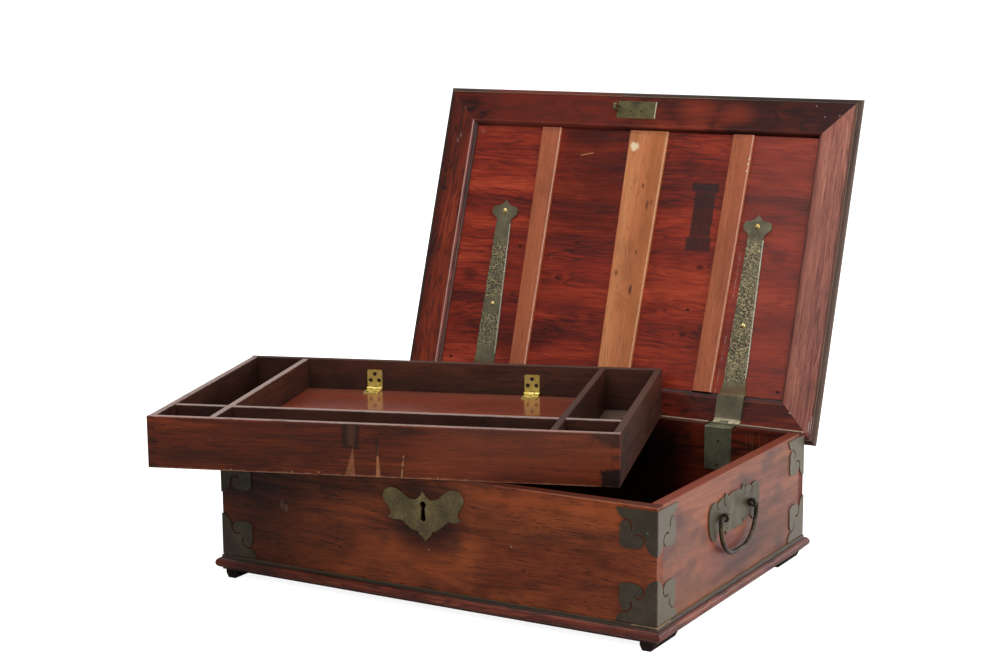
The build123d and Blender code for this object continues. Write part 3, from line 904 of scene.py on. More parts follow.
@dataclass
class Case:
    """The box itself with its mouldings, mounts, lock and handles. Places are millimetres."""

    wood: Wood = Wood("case_wood", "472414", "813c1c", "a25228", "case_wood", length=0.22,
                      streak=0.030, rings=6, veins=0.34, zones=0.8, fibre=0.55, flecks=0.60,
                      gloss=0.40, shine=0.25, grime=0.5)
    side: Wood = Wood("side_wood", "5f2d18", "8c4725", "a35f36", "case_wood", length=0.22,
                      streak=0.040, rings=4, veins=0.35, zones=1.3, fibre=0.45, flecks=0.35,
                      gloss=0.36, shine=0.5, grime=0.8)
    inner: Wood = Wood("inner_wood", "321007", "6b2511", "8c3e1c", "case_wood", length=0.2,
                       streak=0.024, gloss=0.5, shine=0.2)
    floor: Wood = Wood("floor_wood", "2a0f08", "47190f", "6b2b18", "case_wood", gloss=0.5,
                       shine=0.2)
    moulding: Wood = Wood("moulding_wood", "38160c", "69291a", "8b462d", "moulding_wood",
                          length=0.09, streak=0.012, veins=0.5, flecks=0.6, gloss=0.36,
                          shine=0.35, grime=0.8)
    # painted shade: near-black wood, as dark as the shade under the base, for the feet and the till
    # ledges
    plain: Wood = Wood("plain_wood", "120a07", "211510", "35221a", "plain_wood", gloss=0.62,
                       shine=0.15)
    mounts: Brass = Brass("mount_brass", "2d2319", "3c3022", "4f4535", "mount_brass", patch=45,
                          cloud=0.7, speckle=0.6, gloss=0.46, metal=0.35)
    escutcheon: Brass = Brass("escutcheon_brass", "4e422a", "695b3c", "8a7b51",
                              "escutcheon_brass", patch=40, cloud=1.2, speckle=0.7, pits=1.3,
                              gloss=0.38, metal=0.6)
    iron: Brass = Brass("lock_iron", "1c1a17", "34312c", "524d45", "lock_iron", gloss=0.5)
    plates: Brass = Brass("handle_plate_brass", "3b3427", "544b3a", "6c634c",
                          "handle_plate_brass", patch=60, cloud=0.7, speckle=0.5, gloss=0.42,
                          metal=0.5)
    bails: Brass = Brass("bail_brass", "17120c", "2f271b", "554a33", "bail_brass", patch=60,
                         mottle=500, gloss=0.30, metal=0.7)
    leaves: Brass = Brass("hinge_brass", "3f3f30", "66644e", "85826a", "hinge_brass", patch=50,
                          cloud=0.7, gloss=0.48, metal=0.4)
    front_face: float = -178.0
    leaf_screw: float = 1.45
    leaf_screws: tuple[tuple[float, float], ...] = ((0.5, 119.5), (-1.0, 93.0))

    def boards(self) -> None:
        """Dresses the case's boards."""
        y = self.front_face
        front_marks = (
            Patch(x=(-260, -150), colour="85776c", strength=1.0, soft=90, ragged=10, grain=12,
                  mode="MULTIPLY"),
            Patch(x=(60, 240), z=(26, 84), colour="b99e90", strength=0.7, soft=14, ragged=12,
                  grain=20, mode="MULTIPLY"),
            Patch(x=(40, 222), z=(120, 131), colour="b8562a", strength=0.35, soft=7, ragged=8,
                  grain=25),
            Patch(x=(-90, 52), z=(36, 66), colour="a14d26", strength=0.3, soft=12, ragged=12,
                  grain=20),
            Spots(((-3, y, 92),), 42, "5f4a40", 0.85, 17, (1, 1, 1.25), mode="MULTIPLY"),
            Spots(((-50, y, 70), (32, y, 74)), 7, "3c2018", 0.5, 6),
            Knots(((-106, y, 61), (-103, y, 52), (109, y, 58), (178, y, 66)), 1.4, strength=0.6,
                  squash=(0.6, 1, 1), swell=0.05),
            Spots(((-174, y, 88), (-169, y, 84)), 2.0, "a89a9c", 0.15, 1.8, (1, 1, 0.6)),
            Spots(((2.5, y, 64), (96, y, 80)), 0.7, "cdbcb6", 0.5, 0.4),
            # pale lines along the front wall's top arrises: wear with a painted highlight
            Strokes((((120, y, 137.7), (250, y, 137.7)),), 1.0, "bd7648", 0.55, 0.4, 0.5),
            Strokes((((60, -165, 137.8), (237, -165, 137.8)),), 0.9, "c08a5c", 0.5, 0.3, 0.4),
            Patch(y=(-177.2, -164), z=(137.2, 139), colour="3a120c", strength=0.8, soft=0.4,
                  ragged=0),
        )
        dress("case_front", self.wood, Lie.CASE_LONG, 1.0, front_marks)
        back_marks = (
            # painted shade: darkens the inside of the back wall left of x 118, where the till shades
            # it
            Patch(x=(-250, 118), z=(0, 136), colour="2e2826", strength=0.9, soft=22, ragged=6,
                  mode="MULTIPLY", face=(1, 100, 166)),
            Patch(z=(137.0, 139), colour="43261c", strength=0.8, soft=0.5, ragged=0.6, dull=0.2),
            # pale strip along the back wall's top, on its outer half: wear with a painted highlight
            Patch(y=(173, 179), z=(137.0, 139), colour="b3a590", strength=0.7, soft=0.8,
                  ragged=1.2, grain=90),
            Strokes(tuple(((x, 165, 132), (x + 1, 165, 92)) for x in (189, 193.5, 196, 204, 212)),
                    0.8, "8a6a50", 0.30, 0.5, 0.9),
        )
        dress("case_back", self.inner, Lie.CASE_LONG, 2.3, back_marks)
        rim_wear = Patch(z=(137.3, 139), colour="6a2716", strength=0.75, soft=0.4, ragged=0.5)
        # pale line along the right wall's outer top arris: wear with a painted highlight
        edge = Strokes((((250, -170, 137.8), (250, 178, 137.8)),), 0.9, "c9906a", 0.5, 0.3, 0.5)
        # painted shade: a darker, redder patch on the right-hand face below the handle
        handle_shade = Spots(((250, -30, 62),), 26, "8a2f16", 0.35, 18, (1, 0.6, 1.2))
        dress("case_left", self.wood, Lie.CASE_CROSS, 3.1, (rim_wear,))
        # darker towards the bottom of the right-hand face
        darkening = Patch(z=(20, 58), colour="a39080", strength=0.7, soft=16, ragged=8, grain=18,
                     mode="MULTIPLY")
        dress("case_right", self.side, Lie.CASE_CROSS, 4.7, (darkening, rim_wear, edge, handle_shade))
        dress("case_floor", self.floor, Lie.CASE_LONG, 5.2)
        dress("till_ledges", self.plain, Lie.CASE_CROSS, 6.1)

    def base(self) -> None:
        """Dresses the base moulding and the feet."""
        dress("feet", self.plain, Lie.CASE_CROSS, 7.3)
        for side, lie in (("front", Lie.CASE_LONG), ("back", Lie.CASE_LONG),
                          ("left", Lie.CASE_CROSS), ("right", Lie.CASE_CROSS)):
            node = f"base_moulding_{side}"
            marks = (
                Patch(z=(20.4, 25), colour="29231a", strength=0.88, soft=0.6, ragged=0.2),
                # painted highlight on the fillet's top, stronger on the right-hand side and brightest
                # at the front right-hand corner
                Patch(z=(23.2, 25), colour="6d5c42", strength=0.7 if side == "right" else 0.4,
                      soft=0.25, ragged=0.3),
                Patch(x=(225, 262), y=(-190, -150), z=(23.2, 25), colour="b09474", strength=0.6,
                      soft=0.6, ragged=1.0),
                # painted shade along the underside of the nose
                Patch(z=(8, 9.0), colour="120a07", strength=0.85, soft=0.6, ragged=0.3),
            )
            dress(node, self.moulding, lie, 8.0 + len(side), marks)

    def metal(self) -> None:
        """Dresses the mounts, lock, handles and lower hinge leaves."""
        verdigris = Spots(((241, -179.5, 113),), 0.9, "3f8f7d", 0.8, 0.4)
        # painted sheen: lightens the mounts where they lie on the right-hand face
        rubbed = Patch(x=(250.1, 253), y=(-177.6, 180), colour="7b7263", strength=0.6, soft=0.2,
                       ragged=0.2)
        for i, level in enumerate(("upper", "lower")):
            for j, end in enumerate(("front", "back")):
                for k, side in enumerate(("left", "right")):
                    node = f"mount_{level}_{end}_{side}"
                    dress(node, self.mounts, 1.0 + 4 * i + 2 * j + k, (verdigris, rubbed))
        dress("escutcheon", self.escutcheon, 2.0)
        dress("escutcheon_nails", self.escutcheon, 3.0)
        for i, node in enumerate(("lock_case", "lock_cap", "lock_bolt")):
            dress(node, self.iron, 4.0 + i)
        for i, side in enumerate(("left", "right")):
            dress(f"handle_plate_{side}", self.plates, 5.0 + i)
            dress(f"handle_eyes_{side}", self.bails, 6.0 + i)
            dress(f"handle_bail_{side}", self.bails, 7.0 + i)
            dress(f"hinge_leaf_{side}", self.leaves, 8.0 + i)
        dress("hinge_pins", self.leaves, 9.5)

    def screws(self) -> None:
        """Makes the screws of the lower hinge leaves."""
        bm = bmesh.new()
        for leaf_x in LEAVES:
            for dx, z in self.leaf_screws:
                at = Vector((leaf_x + dx, 163.5, z)) * MM
                Screw(self.leaf_screw * MM).head(bm, facing(at, Vector((0, -1, 0)), 20 + z))
        finished("leaf_screws", bm, self.iron.paint("leaf_screws", 10.0), "case")

    def build(self) -> None:
        """Finishes the case."""
        self.boards()
        self.base()
        self.metal()
        self.screws()


@dataclass
class Lid:
    """The mitred lid with its panel, battens, straps and link plate. Places are millimetres."""

    stile: Wood = Wood("stile_wood", "45150b", "7c2b16", "9c4224", "lid_wood", length=0.10,
                       streak=0.013, rings=8, veins=0.55, zones=0.9, flecks=0.5, gloss=0.34,
                       shine=0.3, grime=0.5)
    # partly painted sheen: a lighter, pinker copy of the stile wood for the right stile, which catches
    # the sheen
    right_stile: Wood = Wood("right_stile_wood", "73362e", "9f5a47", "b97761", "lid_wood",
                             length=0.22, streak=0.011, rings=8, veins=0.6, zones=0.6,
                             fibre=0.7, flecks=0.45, gloss=0.34, shine=0.55, grime=0.25)
    rail: Wood = Wood("rail_wood", "280d0a", "591d13", "8a3320", "lid_wood", length=0.07,
                      streak=0.022, rings=6, veins=0.5, zones=1.1, flecks=0.4, gloss=0.34,
                      shine=0.25, grime=0.6)
    panel: Wood = Wood("panel_wood", "450f0a", "892a19", "b3472c", "panel_wood", length=0.10,
                       streak=0.017, rings=9, veins=0.34, zones=1.1, fibre=0.50, flecks=0.26,
                       fleck=0.03, gloss=0.30, shine=0.3, grime=0.5, sway=0.010)
    battens: Wood = Wood("batten_wood", "8a462e", "ad5e3c", "be7550", "batten_wood", length=0.3,
                         streak=0.006, rings=3, veins=0.22, zones=0.4, fibre=0.35, flecks=0.3,
                         gloss=0.40, shine=0.3, grime=0.25, sway=0.002)
    centre: Wood = Wood("centre_batten_wood", "a96137", "c6784b", "d99863", "batten_wood",
                        length=0.3, streak=0.012, rings=3, veins=0.25, zones=0.7, fibre=0.35,
                        flecks=0.3, gloss=0.40, shine=0.3, grime=0.3, sway=0.003)
    straps: Brass = Brass("strap_brass", "4b4431", "706852", "968c6e", "strap_brass", patch=42,
                          cloud=0.9, speckle=0.5, gloss=0.36, metal=0.65, depth=0.00016)
    nails: Brass = Brass("nail_brass", "8a753e", "d2b76d", "f2e7bb", "nail_brass", patch=200,
                         gloss=0.22, metal=1.0)
    link: Brass = Brass("link_brass", "3c3624", "6b6240", "8d8456", "link_brass", patch=60,
                        gloss=0.36, metal=0.7)
    half_width: float = 262.0
    half_depth: float = 190.0
    face: float = 138.3
    panel_face: float = 143.3
    batten_face: float = 138.8

    def rails(self) -> None:
        """Dresses the mitred frame with its outer and inner mouldings."""
        for side, lie in (("front", Lie.LID_LONG), ("back", Lie.LID_LONG),
                          ("left", Lie.LID_CROSS), ("right", Lie.LID_CROSS)):
            node = f"lid_rail_{side}"
            wood = {"left": self.stile, "right": self.right_stile}.get(side, self.rail)
            marks = self.mouldings(side) + self.rail_marks(side)
            dress(node, wood, lie, 11.0 + len(side) * 1.7, marks)

    def mouldings(self, side: str) -> tuple[Mark, ...]:
        """Gives the dark outer moulding of one frame member, its tan lines, which are painted
        highlights, and its inner edge with a painted highlight and a painted shadow.

        Args:
            side: Which member.

        Returns:
            The marks.
        """
        flip = -1 if side in ("left", "front") else 1
        axis = "x" if side in ("left", "right") else "y"
        edge = self.half_width if axis == "x" else self.half_depth

        def strip(near: float, far: float, **finish: str | float) -> Patch:
            """Gives a strip that runs along the member, measured in from its outer edge."""
            limits = sorted((flip * (edge - near), flip * (edge - far)))
            return Patch(**{axis: tuple(limits)}, **finish)

        return (
            strip(-1, 5.9, colour="2a1d14", strength=0.88, soft=0.3, ragged=0.2, dull=0.35),
            # painted highlights: two tan lines on the outer moulding
            strip(4.5, 5.4, colour="927a5c", strength=0.6, soft=0.25, ragged=0.5),
            strip(-1, 0.9, colour="5f4a34", strength=0.5, soft=0.4, ragged=0.6),
            strip(6.0, 7.4, colour="1c0c08", strength=0.6, soft=0.4, ragged=0.2),
            # painted highlight on the inner ovolo, strongest on the left stile
            strip(38.6, 40.2, colour="c79c92" if side == "left" else "8a4a38",
                  strength=0.75 if side == "left" else 0.3, soft=0.4, ragged=0.1),
            # painted shadow under the inner ovolo
            strip(41.8, 46, colour="1c0906", strength=0.65, soft=0.8, ragged=0.2),
        )

    def rail_marks(self, side: str) -> tuple[Mark, ...]:
        """Gives what growth and age left on one frame member.

        Args:
            side: Which member.

        Returns:
            The marks.
        """
        z = self.face
        if side == "left":
            return (Knots(((-249, -66, z),), 3.2),
                    Patch(x=(-262, -248), colour="4a2a20", strength=0.5, soft=5, mode="MULTIPLY"),
                    Spots(((-237, -131, z), (-240, -124.5, z)), 1.1, "b9a29a", 0.28, 1.2, (1, 0.5, 1)))
        if side == "right":
            return (Strokes((((256, 160, z), (256, 178, z)), ((253, 166, z), (253.5, 176, z))), 1.2,
                            "d9cfc4", 0.7, 0.5, 0.5),
                    Spots(((213, -134, z), (247, -131, z)), 0.9, "2c0f0b", 0.8, 0.4))
        if side == "front":
            return (Knots(((-196, -166, z), (190, -170, z)), 6, strength=0.5),
                    Patch(x=(100, 262), colour="6a5a56", strength=0.6, soft=40, mode="MULTIPLY"),
                    Patch(x=(-200, -40), colour="8c2f1c", strength=0.35, soft=25, ragged=8),
                    Spots(((69, -170, z), (118, -168, z)), 9, "9c3a20", 0.45, 8, (0.5, 1, 1)),
                    Strokes((((222, -150, z), (261, -189, z)),), 0.9, "160806", 0.8, 0.3),
                    Spots(((211, -180, z), (222, -168, z), (239, -170, z), (-237, -165, z)), 0.9,
                          "b3a295", 0.45, 0.5))
        return (Strokes((((221, 149, z), (261, 189, z)),), 0.9, "160806", 0.8, 0.3),
                Spots(((230, 158, z),), 0.9, "e6dccb", 0.9, 0.5))

    def panels(self) -> None:
        """Dresses the panel with its knots, ghost of a lost fitting and holes."""
        z = self.panel_face
        knots = Knots(((-79.5, 31, z), (88.6, 84, z), (97.8, 7, z)), 2.6, swell=0.12)
        blots = Knots(((-197.4, 33.5, z), (-183, 92, z), (188.5, -9, z)), 6.0, strength=0.55,
                      reach=3.0, swell=0.06)
        holes = ((-205.4, 134.7, z), (210.6, 137.1, z), (-135.4, -2.5, z), (90.2, 55.8, z))
        pins = ((74.8, -87, z), (83, -82, z), (89.3, -87, z), (96.3, -82, z), (104, -80, z),
                (91.3, -61, z), (88.7, -39, z), (86.6, -24.7, z), (96.6, -19.7, z))
        ghost = "241b19"
        inside = (2, z - 2.0, z + 2.0)
        marks = (
            knots, blots,
            Strokes((((-94, 4, z), (-56, -5, z)), ((-56, -5, z), (-12, -15, z)),
                     ((-98, 10, z), (-94, 4, z))), 2.2, "220a08", 0.55, 1.2, 0.3),
            Patch(x=(-102, -10), y=(-150, -20), colour="7a6a66", strength=0.55, soft=20,
                  ragged=12, grain=16, mode="MULTIPLY", face=inside),
            # painted sheen: a pinker haze over the right-hand part of the panel
            Patch(x=(136, 230), y=(-150, 150), colour="8c4a42", strength=0.30, soft=10,
                  ragged=6, grain=16, face=inside),
            *(Patch(x=x, y=y, colour=ghost, strength=0.82, soft=1.2, ragged=0.6, grain=120,
                    face=inside)
              for x, y in (((74, 107), (-89, -79)), ((79, 104), (-79, -27)),
                           ((76, 106), (-27, -11)))),
            Spots(pins, 0.95, "0d0605", 0.95, 0.4, depth=1.0),
            Spots(holes, 1.7, "0b0403", 0.95, 0.6, (0.7, 1.3, 1), depth=1.0),
            Strokes((((-73, -114.3, z), (-58, -117.4, z)),), 1.1, "c98a52", 0.8, 0.4),
            Strokes((((141.7, 74, z), (137.6, 144, z)), ((144, -15, z), (142.5, 40, z))), 0.9,
                    "cdbba8", 0.35, 0.5, 1.0),
            Spots(((-210, -138, z),), 2.2, "c0a090", 0.16, 2.2),
        )
        dress("lid_panel", self.panel, Lie.LID_LONG, 21.0, marks)

    def ribs(self) -> None:
        """Dresses the three battens."""
        z = self.batten_face
        left = (self.batten_edge(-102.7, -102.7, "e3b59c"), self.batten_foot(-127, -103))
        right = (self.batten_edge(141.2, 133.7, "d9a58c"), self.batten_foot(116, 140),
                 Spots(((140, -118, z), (139.5, -112, z), (139, -104, z)), 0.9, "e8d8c8", 0.8, 0.5),
                 Spots(((131, 84, z),), 0.9, "3a160e", 0.8, 0.4))
        centre = (
            self.batten_edge(35.6, 31.2, "eec49a"), self.batten_foot(-12, 36),
            Spots(((-4, -124.4, z), (-1.5, -126.5, z), (-5.5, -127.5, z)), 2.6, "f0d9b0", 0.95, 1.0,
                  (0.8, 0.7, 1)),
            Spots(((17.9, 39, z), (23.2, -59, z)), 1.9, "2a120a", 0.85, 0.8, (1, 0.35, 1), depth=0.8),
            Spots(((18.3, -4, z), (14.6, -81, z), (27.7, -63, z), (-3, 20.7, z)), 1.4, "3a1a10",
                  0.75, 0.8, (1, 0.5, 1), depth=0.8),
            Strokes((((-0.6, 43, z), (23.8, 56.2, z)),), 0.8, "7a4428", 0.6, 0.4),
            Patch(x=(18, 34), colour="a9602f", strength=0.35, soft=4, ragged=1),
        )
        for side, wood, marks in (("left", self.battens, left), ("centre", self.centre, centre),
                                  ("right", self.battens, right)):
            node = f"lid_batten_{side}"
            dress(node, wood, Lie.LID_CROSS, 22.0 + len(side), marks)

    def batten_edge(self, front_x: float, back_x: float, colour: str) -> Strokes:
        """Gives the painted highlight along a batten's right-hand arris."""
        z = self.batten_face + 0.4
        return Strokes((((front_x, -145, z), (back_x, 145, z)),), 2.2, colour, 0.55, 0.6, 0.25)

    def batten_foot(self, low: float, high: float) -> Patch:
        """Gives the darker band along a batten's front end."""
        return Patch(x=(low, high), y=(-150, -141), colour="6a3a28", strength=0.4, soft=2)

    def straps_of(self, side: str, x: float, lean: float, chased: tuple[tuple[float, float], ...]
                  ) -> None:
        """Dresses one strap hinge.

        Args:
            side: Which one.
            x: Its middle line at the pivot.
            lean: How far its tip stands off that line.
            chased: The stretches along Y that carry scrollwork.
        """
        pivot_y, length, z = 178.1, 234.0, 141.3
        far, near = 205.0, 52.0

        def edge(run: float, half: float) -> Point:
            """Gives a point on the strap's right-hand edge."""
            return (x + lean * run / length + half, pivot_y - run, z)

        marks = (
            Chasing(chased),
            # painted highlight along the strap's right-hand edge
            Strokes(((edge(far, 9.2), edge(near, 12.7)),), 1.5, "e9e2cf", 0.8, 0.35, 0.35, 0.0, 0.0,
                    0.1),
            Patch(y=(136, 147), colour="6b4c28", strength=0.6, soft=2.5, ragged=4, grain=150),
            Patch(y=(148, 170), colour="4f4a3a", strength=0.5, soft=3, ragged=3, grain=110,
                  dull=0.12),
            # painted highlight across the strap near its knuckle
            Patch(y=(172.5, 176), colour="d8cdaa", strength=0.7, soft=0.8, ragged=1.2, grain=150),
            Spots(((x - 3, 152, 138.3), (x + 4, 149, 138.3)), 1.3, "141008", 0.9, 0.5),
        )
        dress(f"strap_{side}", self.straps, 1.0 + x / 100, marks, Lie.LID_LONG)

    def build(self) -> None:
        """Finishes the lid."""
        self.rails()
        self.panels()
        self.ribs()
        self.straps_of("left", -157.5, -4.5, ((-6, 62), (78, 118)))
        self.straps_of("right", 159.5, 1.0, ((-26, 132),))
        dress("strap_nails", self.nails, 3.0)
        # painted highlight along the right-hand end of the link plate
        plate_edge_highlight = Strokes((((16.4, -178, self.face), (16.4, -160, self.face)),), 1.3, "efe9c8",
                             0.85, 0.3, 0.2)
        dress("lock_link", self.link, 4.0, (plate_edge_highlight,), Lie.LID_LONG)
        bm = bmesh.new()
        at = LID @ (Vector((-1, -167, self.face + 0.1)) * MM)
        Screw(1.95 * MM).head(bm, facing(at, LID.to_3x3() @ Vector((0, 0, -1)), 25))
        finished("link_screw", bm, self.link.paint("link_screw", 5.0), "lid")


@dataclass
class Till:
    """The lift-out till with its dividers, flap and butt hinges. Places are millimetres."""

    front: Wood = Wood("till_wood", "3a180c", "632812", "8a3d1e", "till_wood", length=0.22,
                       streak=0.030, rings=5, veins=0.35, zones=0.9, fibre=0.6, flecks=0.6,
                       gloss=0.40, shine=0.25, grime=0.4)
    inside: Wood = Wood("till_inner_wood", "291610", "42241a", "583224", "till_wood",
                        length=0.2, streak=0.028, veins=0.3, zones=0.9, flecks=0.5, gloss=0.46,
                        shine=0.25, grime=0.5)
    flap: Wood = Wood("flap_wood", "58251b", "803723", "9d4b30", "flap_wood", length=0.25,
                      streak=0.030, rings=4, veins=0.25, zones=0.7, flecks=0.3, gloss=0.20,
                      shine=0.5, grime=0.25, wax=0.6, wax_rough=0.06)
    hinges: Brass = Brass("butt_brass", "a89040", "d8c169", "f2e7a4", "butt_brass", patch=150,
                          gloss=0.30, metal=0.8)
    screws: Brass = Brass("screw_iron", "1b150c", "30271a", "4a3d28", "lock_iron", gloss=0.45)
    rim_z: float = 51.2
    hinge_x: tuple[float, float] = (-90.5, 90.0)
    wall_y: float = 155.5
    pin: tuple[float, float] = (153.6, 20.4)
    leaf_half: float = 8.5
    leaf_tall: float = 21.0
    leaf_t: float = 1.2
    knuckle: float = 1.8
    gap: float = 3.1
    hole: float = 2.5
    screw: float = 2.3
    flap_top: float = 18.5
    holes: tuple[tuple[float, float], ...] = ((0.0, 16.3), (-4.8, 9.0), (4.8, 9.0))
    flap_holes: tuple[tuple[float, float], ...] = ((-5.2, 15.2), (5.2, 15.2), (0.0, 7.4))

    def front_marks(self) -> tuple[Mark, ...]:
        """Gives the repairs, chips, stains and wear on the till's front."""
        y = -163.0
        return (
            Patch(x=(40, 240), z=(4, 46), colour="9c4626", strength=0.22, soft=18, ragged=9,
                  grain=18),
            Patch(x=(-36.5, -19.5), z=(27, 53), colour="20120d", strength=0.72, soft=0.7,
                  ragged=0.8),
            Patch(x=(-31, -24), z=(30, 50), colour="5a3a28", strength=0.5, soft=1.5, ragged=1.5),
            Strokes((((-25.7, y, 29), (-29.5, y, -2)),), 11.0, "8a5638", 0.85, 0.7, 0.25, 1.0),
            Strokes((((-34, y, 6), (-37, y, -1)),), 2.0, "3a2014", 0.7, 0.6),
            Strokes((((-1.6, y, 36), (-1, y, -2)),), 5.0, "a46a44", 0.85, 0.5, 0.15, 1.0),
            Strokes((((-2.2, y, 38), (-1.6, y, 22)),), 2.6, "1f120c", 0.8, 0.8),
            Strokes((((24.4, y, 22), (22, y, -1)),), 1.2, "c9a874", 0.5, 0.4, 0.9),
            Spots(((-88, y, 1.6), (-61, y, 2.4), (58, y, 1.4), (-150, y, 1.5)), 0.8, "cdb47c",
                  0.4, 0.5),
            Patch(z=(-1, 1.0), colour="a4775a", strength=0.5, soft=0.5, ragged=0.8, grain=90),
            Dovetails((-235, -227.5)), Dovetails((227.5, 235)),
            Strokes((((227.4, y, 0), (227.4, y, 52)), ((-227.4, y, 0), (-227.4, y, 52))), 0.8,
                    "170c08", 0.5, 0.3, 0.4),
            Patch(x=(207, 236), z=(42, 53), colour="1a0f0b", strength=0.75, soft=3, ragged=5,
                  grain=70),
            Patch(x=(217, 236), z=(-1, 17), colour="0d0a09", strength=0.92, soft=2, ragged=4,
                  grain=110),
            Spots(((110, y, 49), (-200, y, 30), (150, y, 12)), 1.0, "22110c", 0.6, 0.6),
            Strokes((((-180, y, 20), (-120, y, 23)), ((120, y, 30), (200, y, 38))), 0.7,
                    "331710", 0.5, 0.4, 0.7),
        )

    def boards(self) -> None:
        """Dresses the till's boards, dividers and flap."""
        # pale top faces: dust and wear, with a painted sheen
        pale = Patch(z=(self.rim_z + 0.6, 53), colour="a68e84", strength=0.6, soft=0.2, ragged=0.3,
                     grain=140, dull=0.2)
        dust_and_sheen = Patch(z=(self.rim_z - 0.4, 53), colour="a69087", strength=0.6, soft=0.2,
                      ragged=0.3, grain=140, dull=0.2)
        dull = Patch(z=(self.rim_z - 0.6, 53), colour="4a3229", strength=0.6, soft=0.35, ragged=0.6,
                     grain=140, dull=0.5)
        # darkens the pale top faces and their painted sheen towards the right-hand end
        fading = Patch(x=(60, 240), z=(self.rim_z, 53), colour="6a4a3e", strength=0.6, soft=40,
                       ragged=2, dull=0.3)
        dress("till_front", self.front, Lie.TILL_LONG, 31.0, self.front_marks() + (pale, fading))
        right_marks = (dull, Patch(y=(-164, -150), z=(-1, 20), colour="0d0a09", strength=0.6,
                                   soft=3, ragged=4, grain=110),
                       Strokes((((235, -155, 8), (235, 120, 20)), ((235, -130, 30), (235, 60, 44))),
                               0.8, "7c5848", 0.5, 0.4, 0.6))
        dress("till_right", self.inside, Lie.TILL_CROSS, 42.0, right_marks)
        dress("till_left", self.inside, Lie.TILL_CROSS, 41.0, (pale,))
        dress("till_back", self.inside, Lie.TILL_LONG, 32.0, (dull,))
        dress("till_divider_left", self.inside, Lie.TILL_CROSS, 43.0, (dust_and_sheen,))
        dress("till_divider_right", self.inside, Lie.TILL_CROSS, 44.0, (dull,))
        dress("till_divider_long", self.inside, Lie.TILL_LONG, 34.0, (dust_and_sheen,))
        floor_dust = Patch(x=(172, 228), y=(-95, 156), z=(4, 6), colour="8d7f6e", strength=0.6,
                           soft=3, ragged=4)
        dress("till_floor", self.inside, Lie.TILL_LONG, 33.0, (floor_dust,))
        dress("flap_bearers", self.inside, Lie.TILL_LONG, 35.0)
        haze = Patch(y=(128, 152), z=(18, 19), colour="7c7864", strength=0.35, soft=10, ragged=4)
        dress("till_flap", self.flap, Lie.TILL_LONG, 51.0, (haze,))

    def butt_hinges(self) -> None:
        """Makes the wall leaves of the flap's hinges and dresses the rest."""
        brass = self.hinges.paint("butt_leaves", 2.0)
        leaves, on_wall, on_flap = bmesh.new(), bmesh.new(), bmesh.new()
        pin_y, pin_z = self.pin
        stand = Matrix.Rotation(math.pi / 2, 4, "X")
        for x in self.hinge_x:
            face = Vector((x, self.wall_y - self.leaf_t, pin_z)) * MM
            join(leaves, self.wall_leaf(), TILL @ Matrix.Translation(face) @ stand)
            for near, far in ((-self.leaf_half, -self.gap), (self.gap, self.leaf_half)):
                barrel = bmesh.new()
                bmesh.ops.create_cone(barrel, cap_ends=True, segments=24, depth=(far - near) * MM,
                                      radius1=self.knuckle * MM, radius2=self.knuckle * MM)
                middle = Vector((x + (near + far) / 2, pin_y, pin_z)) * MM
                join(leaves, barrel, TILL @ Matrix.Translation(middle)
                     @ Matrix.Rotation(math.pi / 2, 4, "Y"))
            for i, (dx, up) in enumerate(self.holes):
                at = Vector((x + dx, self.wall_y - self.leaf_t + 0.1, pin_z + up)) * MM
                Screw(self.screw * MM).head(on_wall, TILL @ Matrix.Translation(at) @ stand
                                            @ Matrix.Rotation(0.7 + i + x, 4, "Z"))
            for i, (dx, run) in enumerate(self.flap_holes):
                at = Vector((x + dx, pin_y - run, self.flap_top + self.leaf_t - 0.1)) * MM
                Screw(self.screw * MM).head(on_flap, TILL @ Matrix.Translation(at)
                                            @ Matrix.Rotation(0.4 + i * 2, 4, "Z"))
        walls = finished("butt_wall_leaves", leaves, brass, "till")
        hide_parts("flap_hinge_wall_leaves")
        iron = self.screws.paint("butt_screws", 6.0)
        finished("butt_wall_screws", on_wall, iron, "till")
        finished("butt_flap_screws", on_flap, iron, "flap")
        for i, node in enumerate(("flap_hinge_flap_leaves", "flap_hinge_pins")):
            dress(node, self.hinges, 3.0 + i)

    def wall_leaf(self) -> bmesh.types.BMesh:
        """Makes one wall leaf flat: X along the pin, Y up, its face on the XY plane.

        Returns:
            The leaf.
        """
        h, t, g = self.leaf_half, self.leaf_tall, self.gap
        corners = ((-h, -0.9), (-g, -0.9), (-g, 2.3), (g, 2.3), (g, -0.9), (h, -0.9),
                   (h, t - 1), (h - 1, t), (1 - h, t), (-h, t - 1))
        bm = bmesh.new()
        ring = [bm.verts.new((px * MM, py * MM, 0)) for px, py in corners]
        for a, b in zip(ring, ring[1:] + ring[:1]):
            bm.edges.new((a, b))
        for px, py in self.holes:
            bmesh.ops.create_circle(bm, cap_ends=False, segments=20, radius=self.hole * MM,
                                    matrix=Matrix.Translation((px * MM, py * MM, 0)))
        bmesh.ops.triangle_fill(bm, use_beauty=True, use_dissolve=False, edges=bm.edges[:])
        grown = bmesh.ops.extrude_face_region(bm, geom=bm.faces[:])["geom"]
        back = [v for v in grown if isinstance(v, bmesh.types.BMVert)]
        bmesh.ops.translate(bm, vec=(0, 0, -self.leaf_t * MM), verts=back)
        for px, py in self.holes:
            centre = Vector((px * MM, py * MM, -self.leaf_t * MM))
            near = [v for v in back if (v.co - centre).length < 2.6 * MM]
            bmesh.ops.scale(bm, vec=(0.55, 0.55, 1), verts=near,
                            space=Matrix.Translation(-centre))
        return bm

    def build(self) -> None:
        """Finishes the till."""
        self.boards()
        self.butt_hinges()


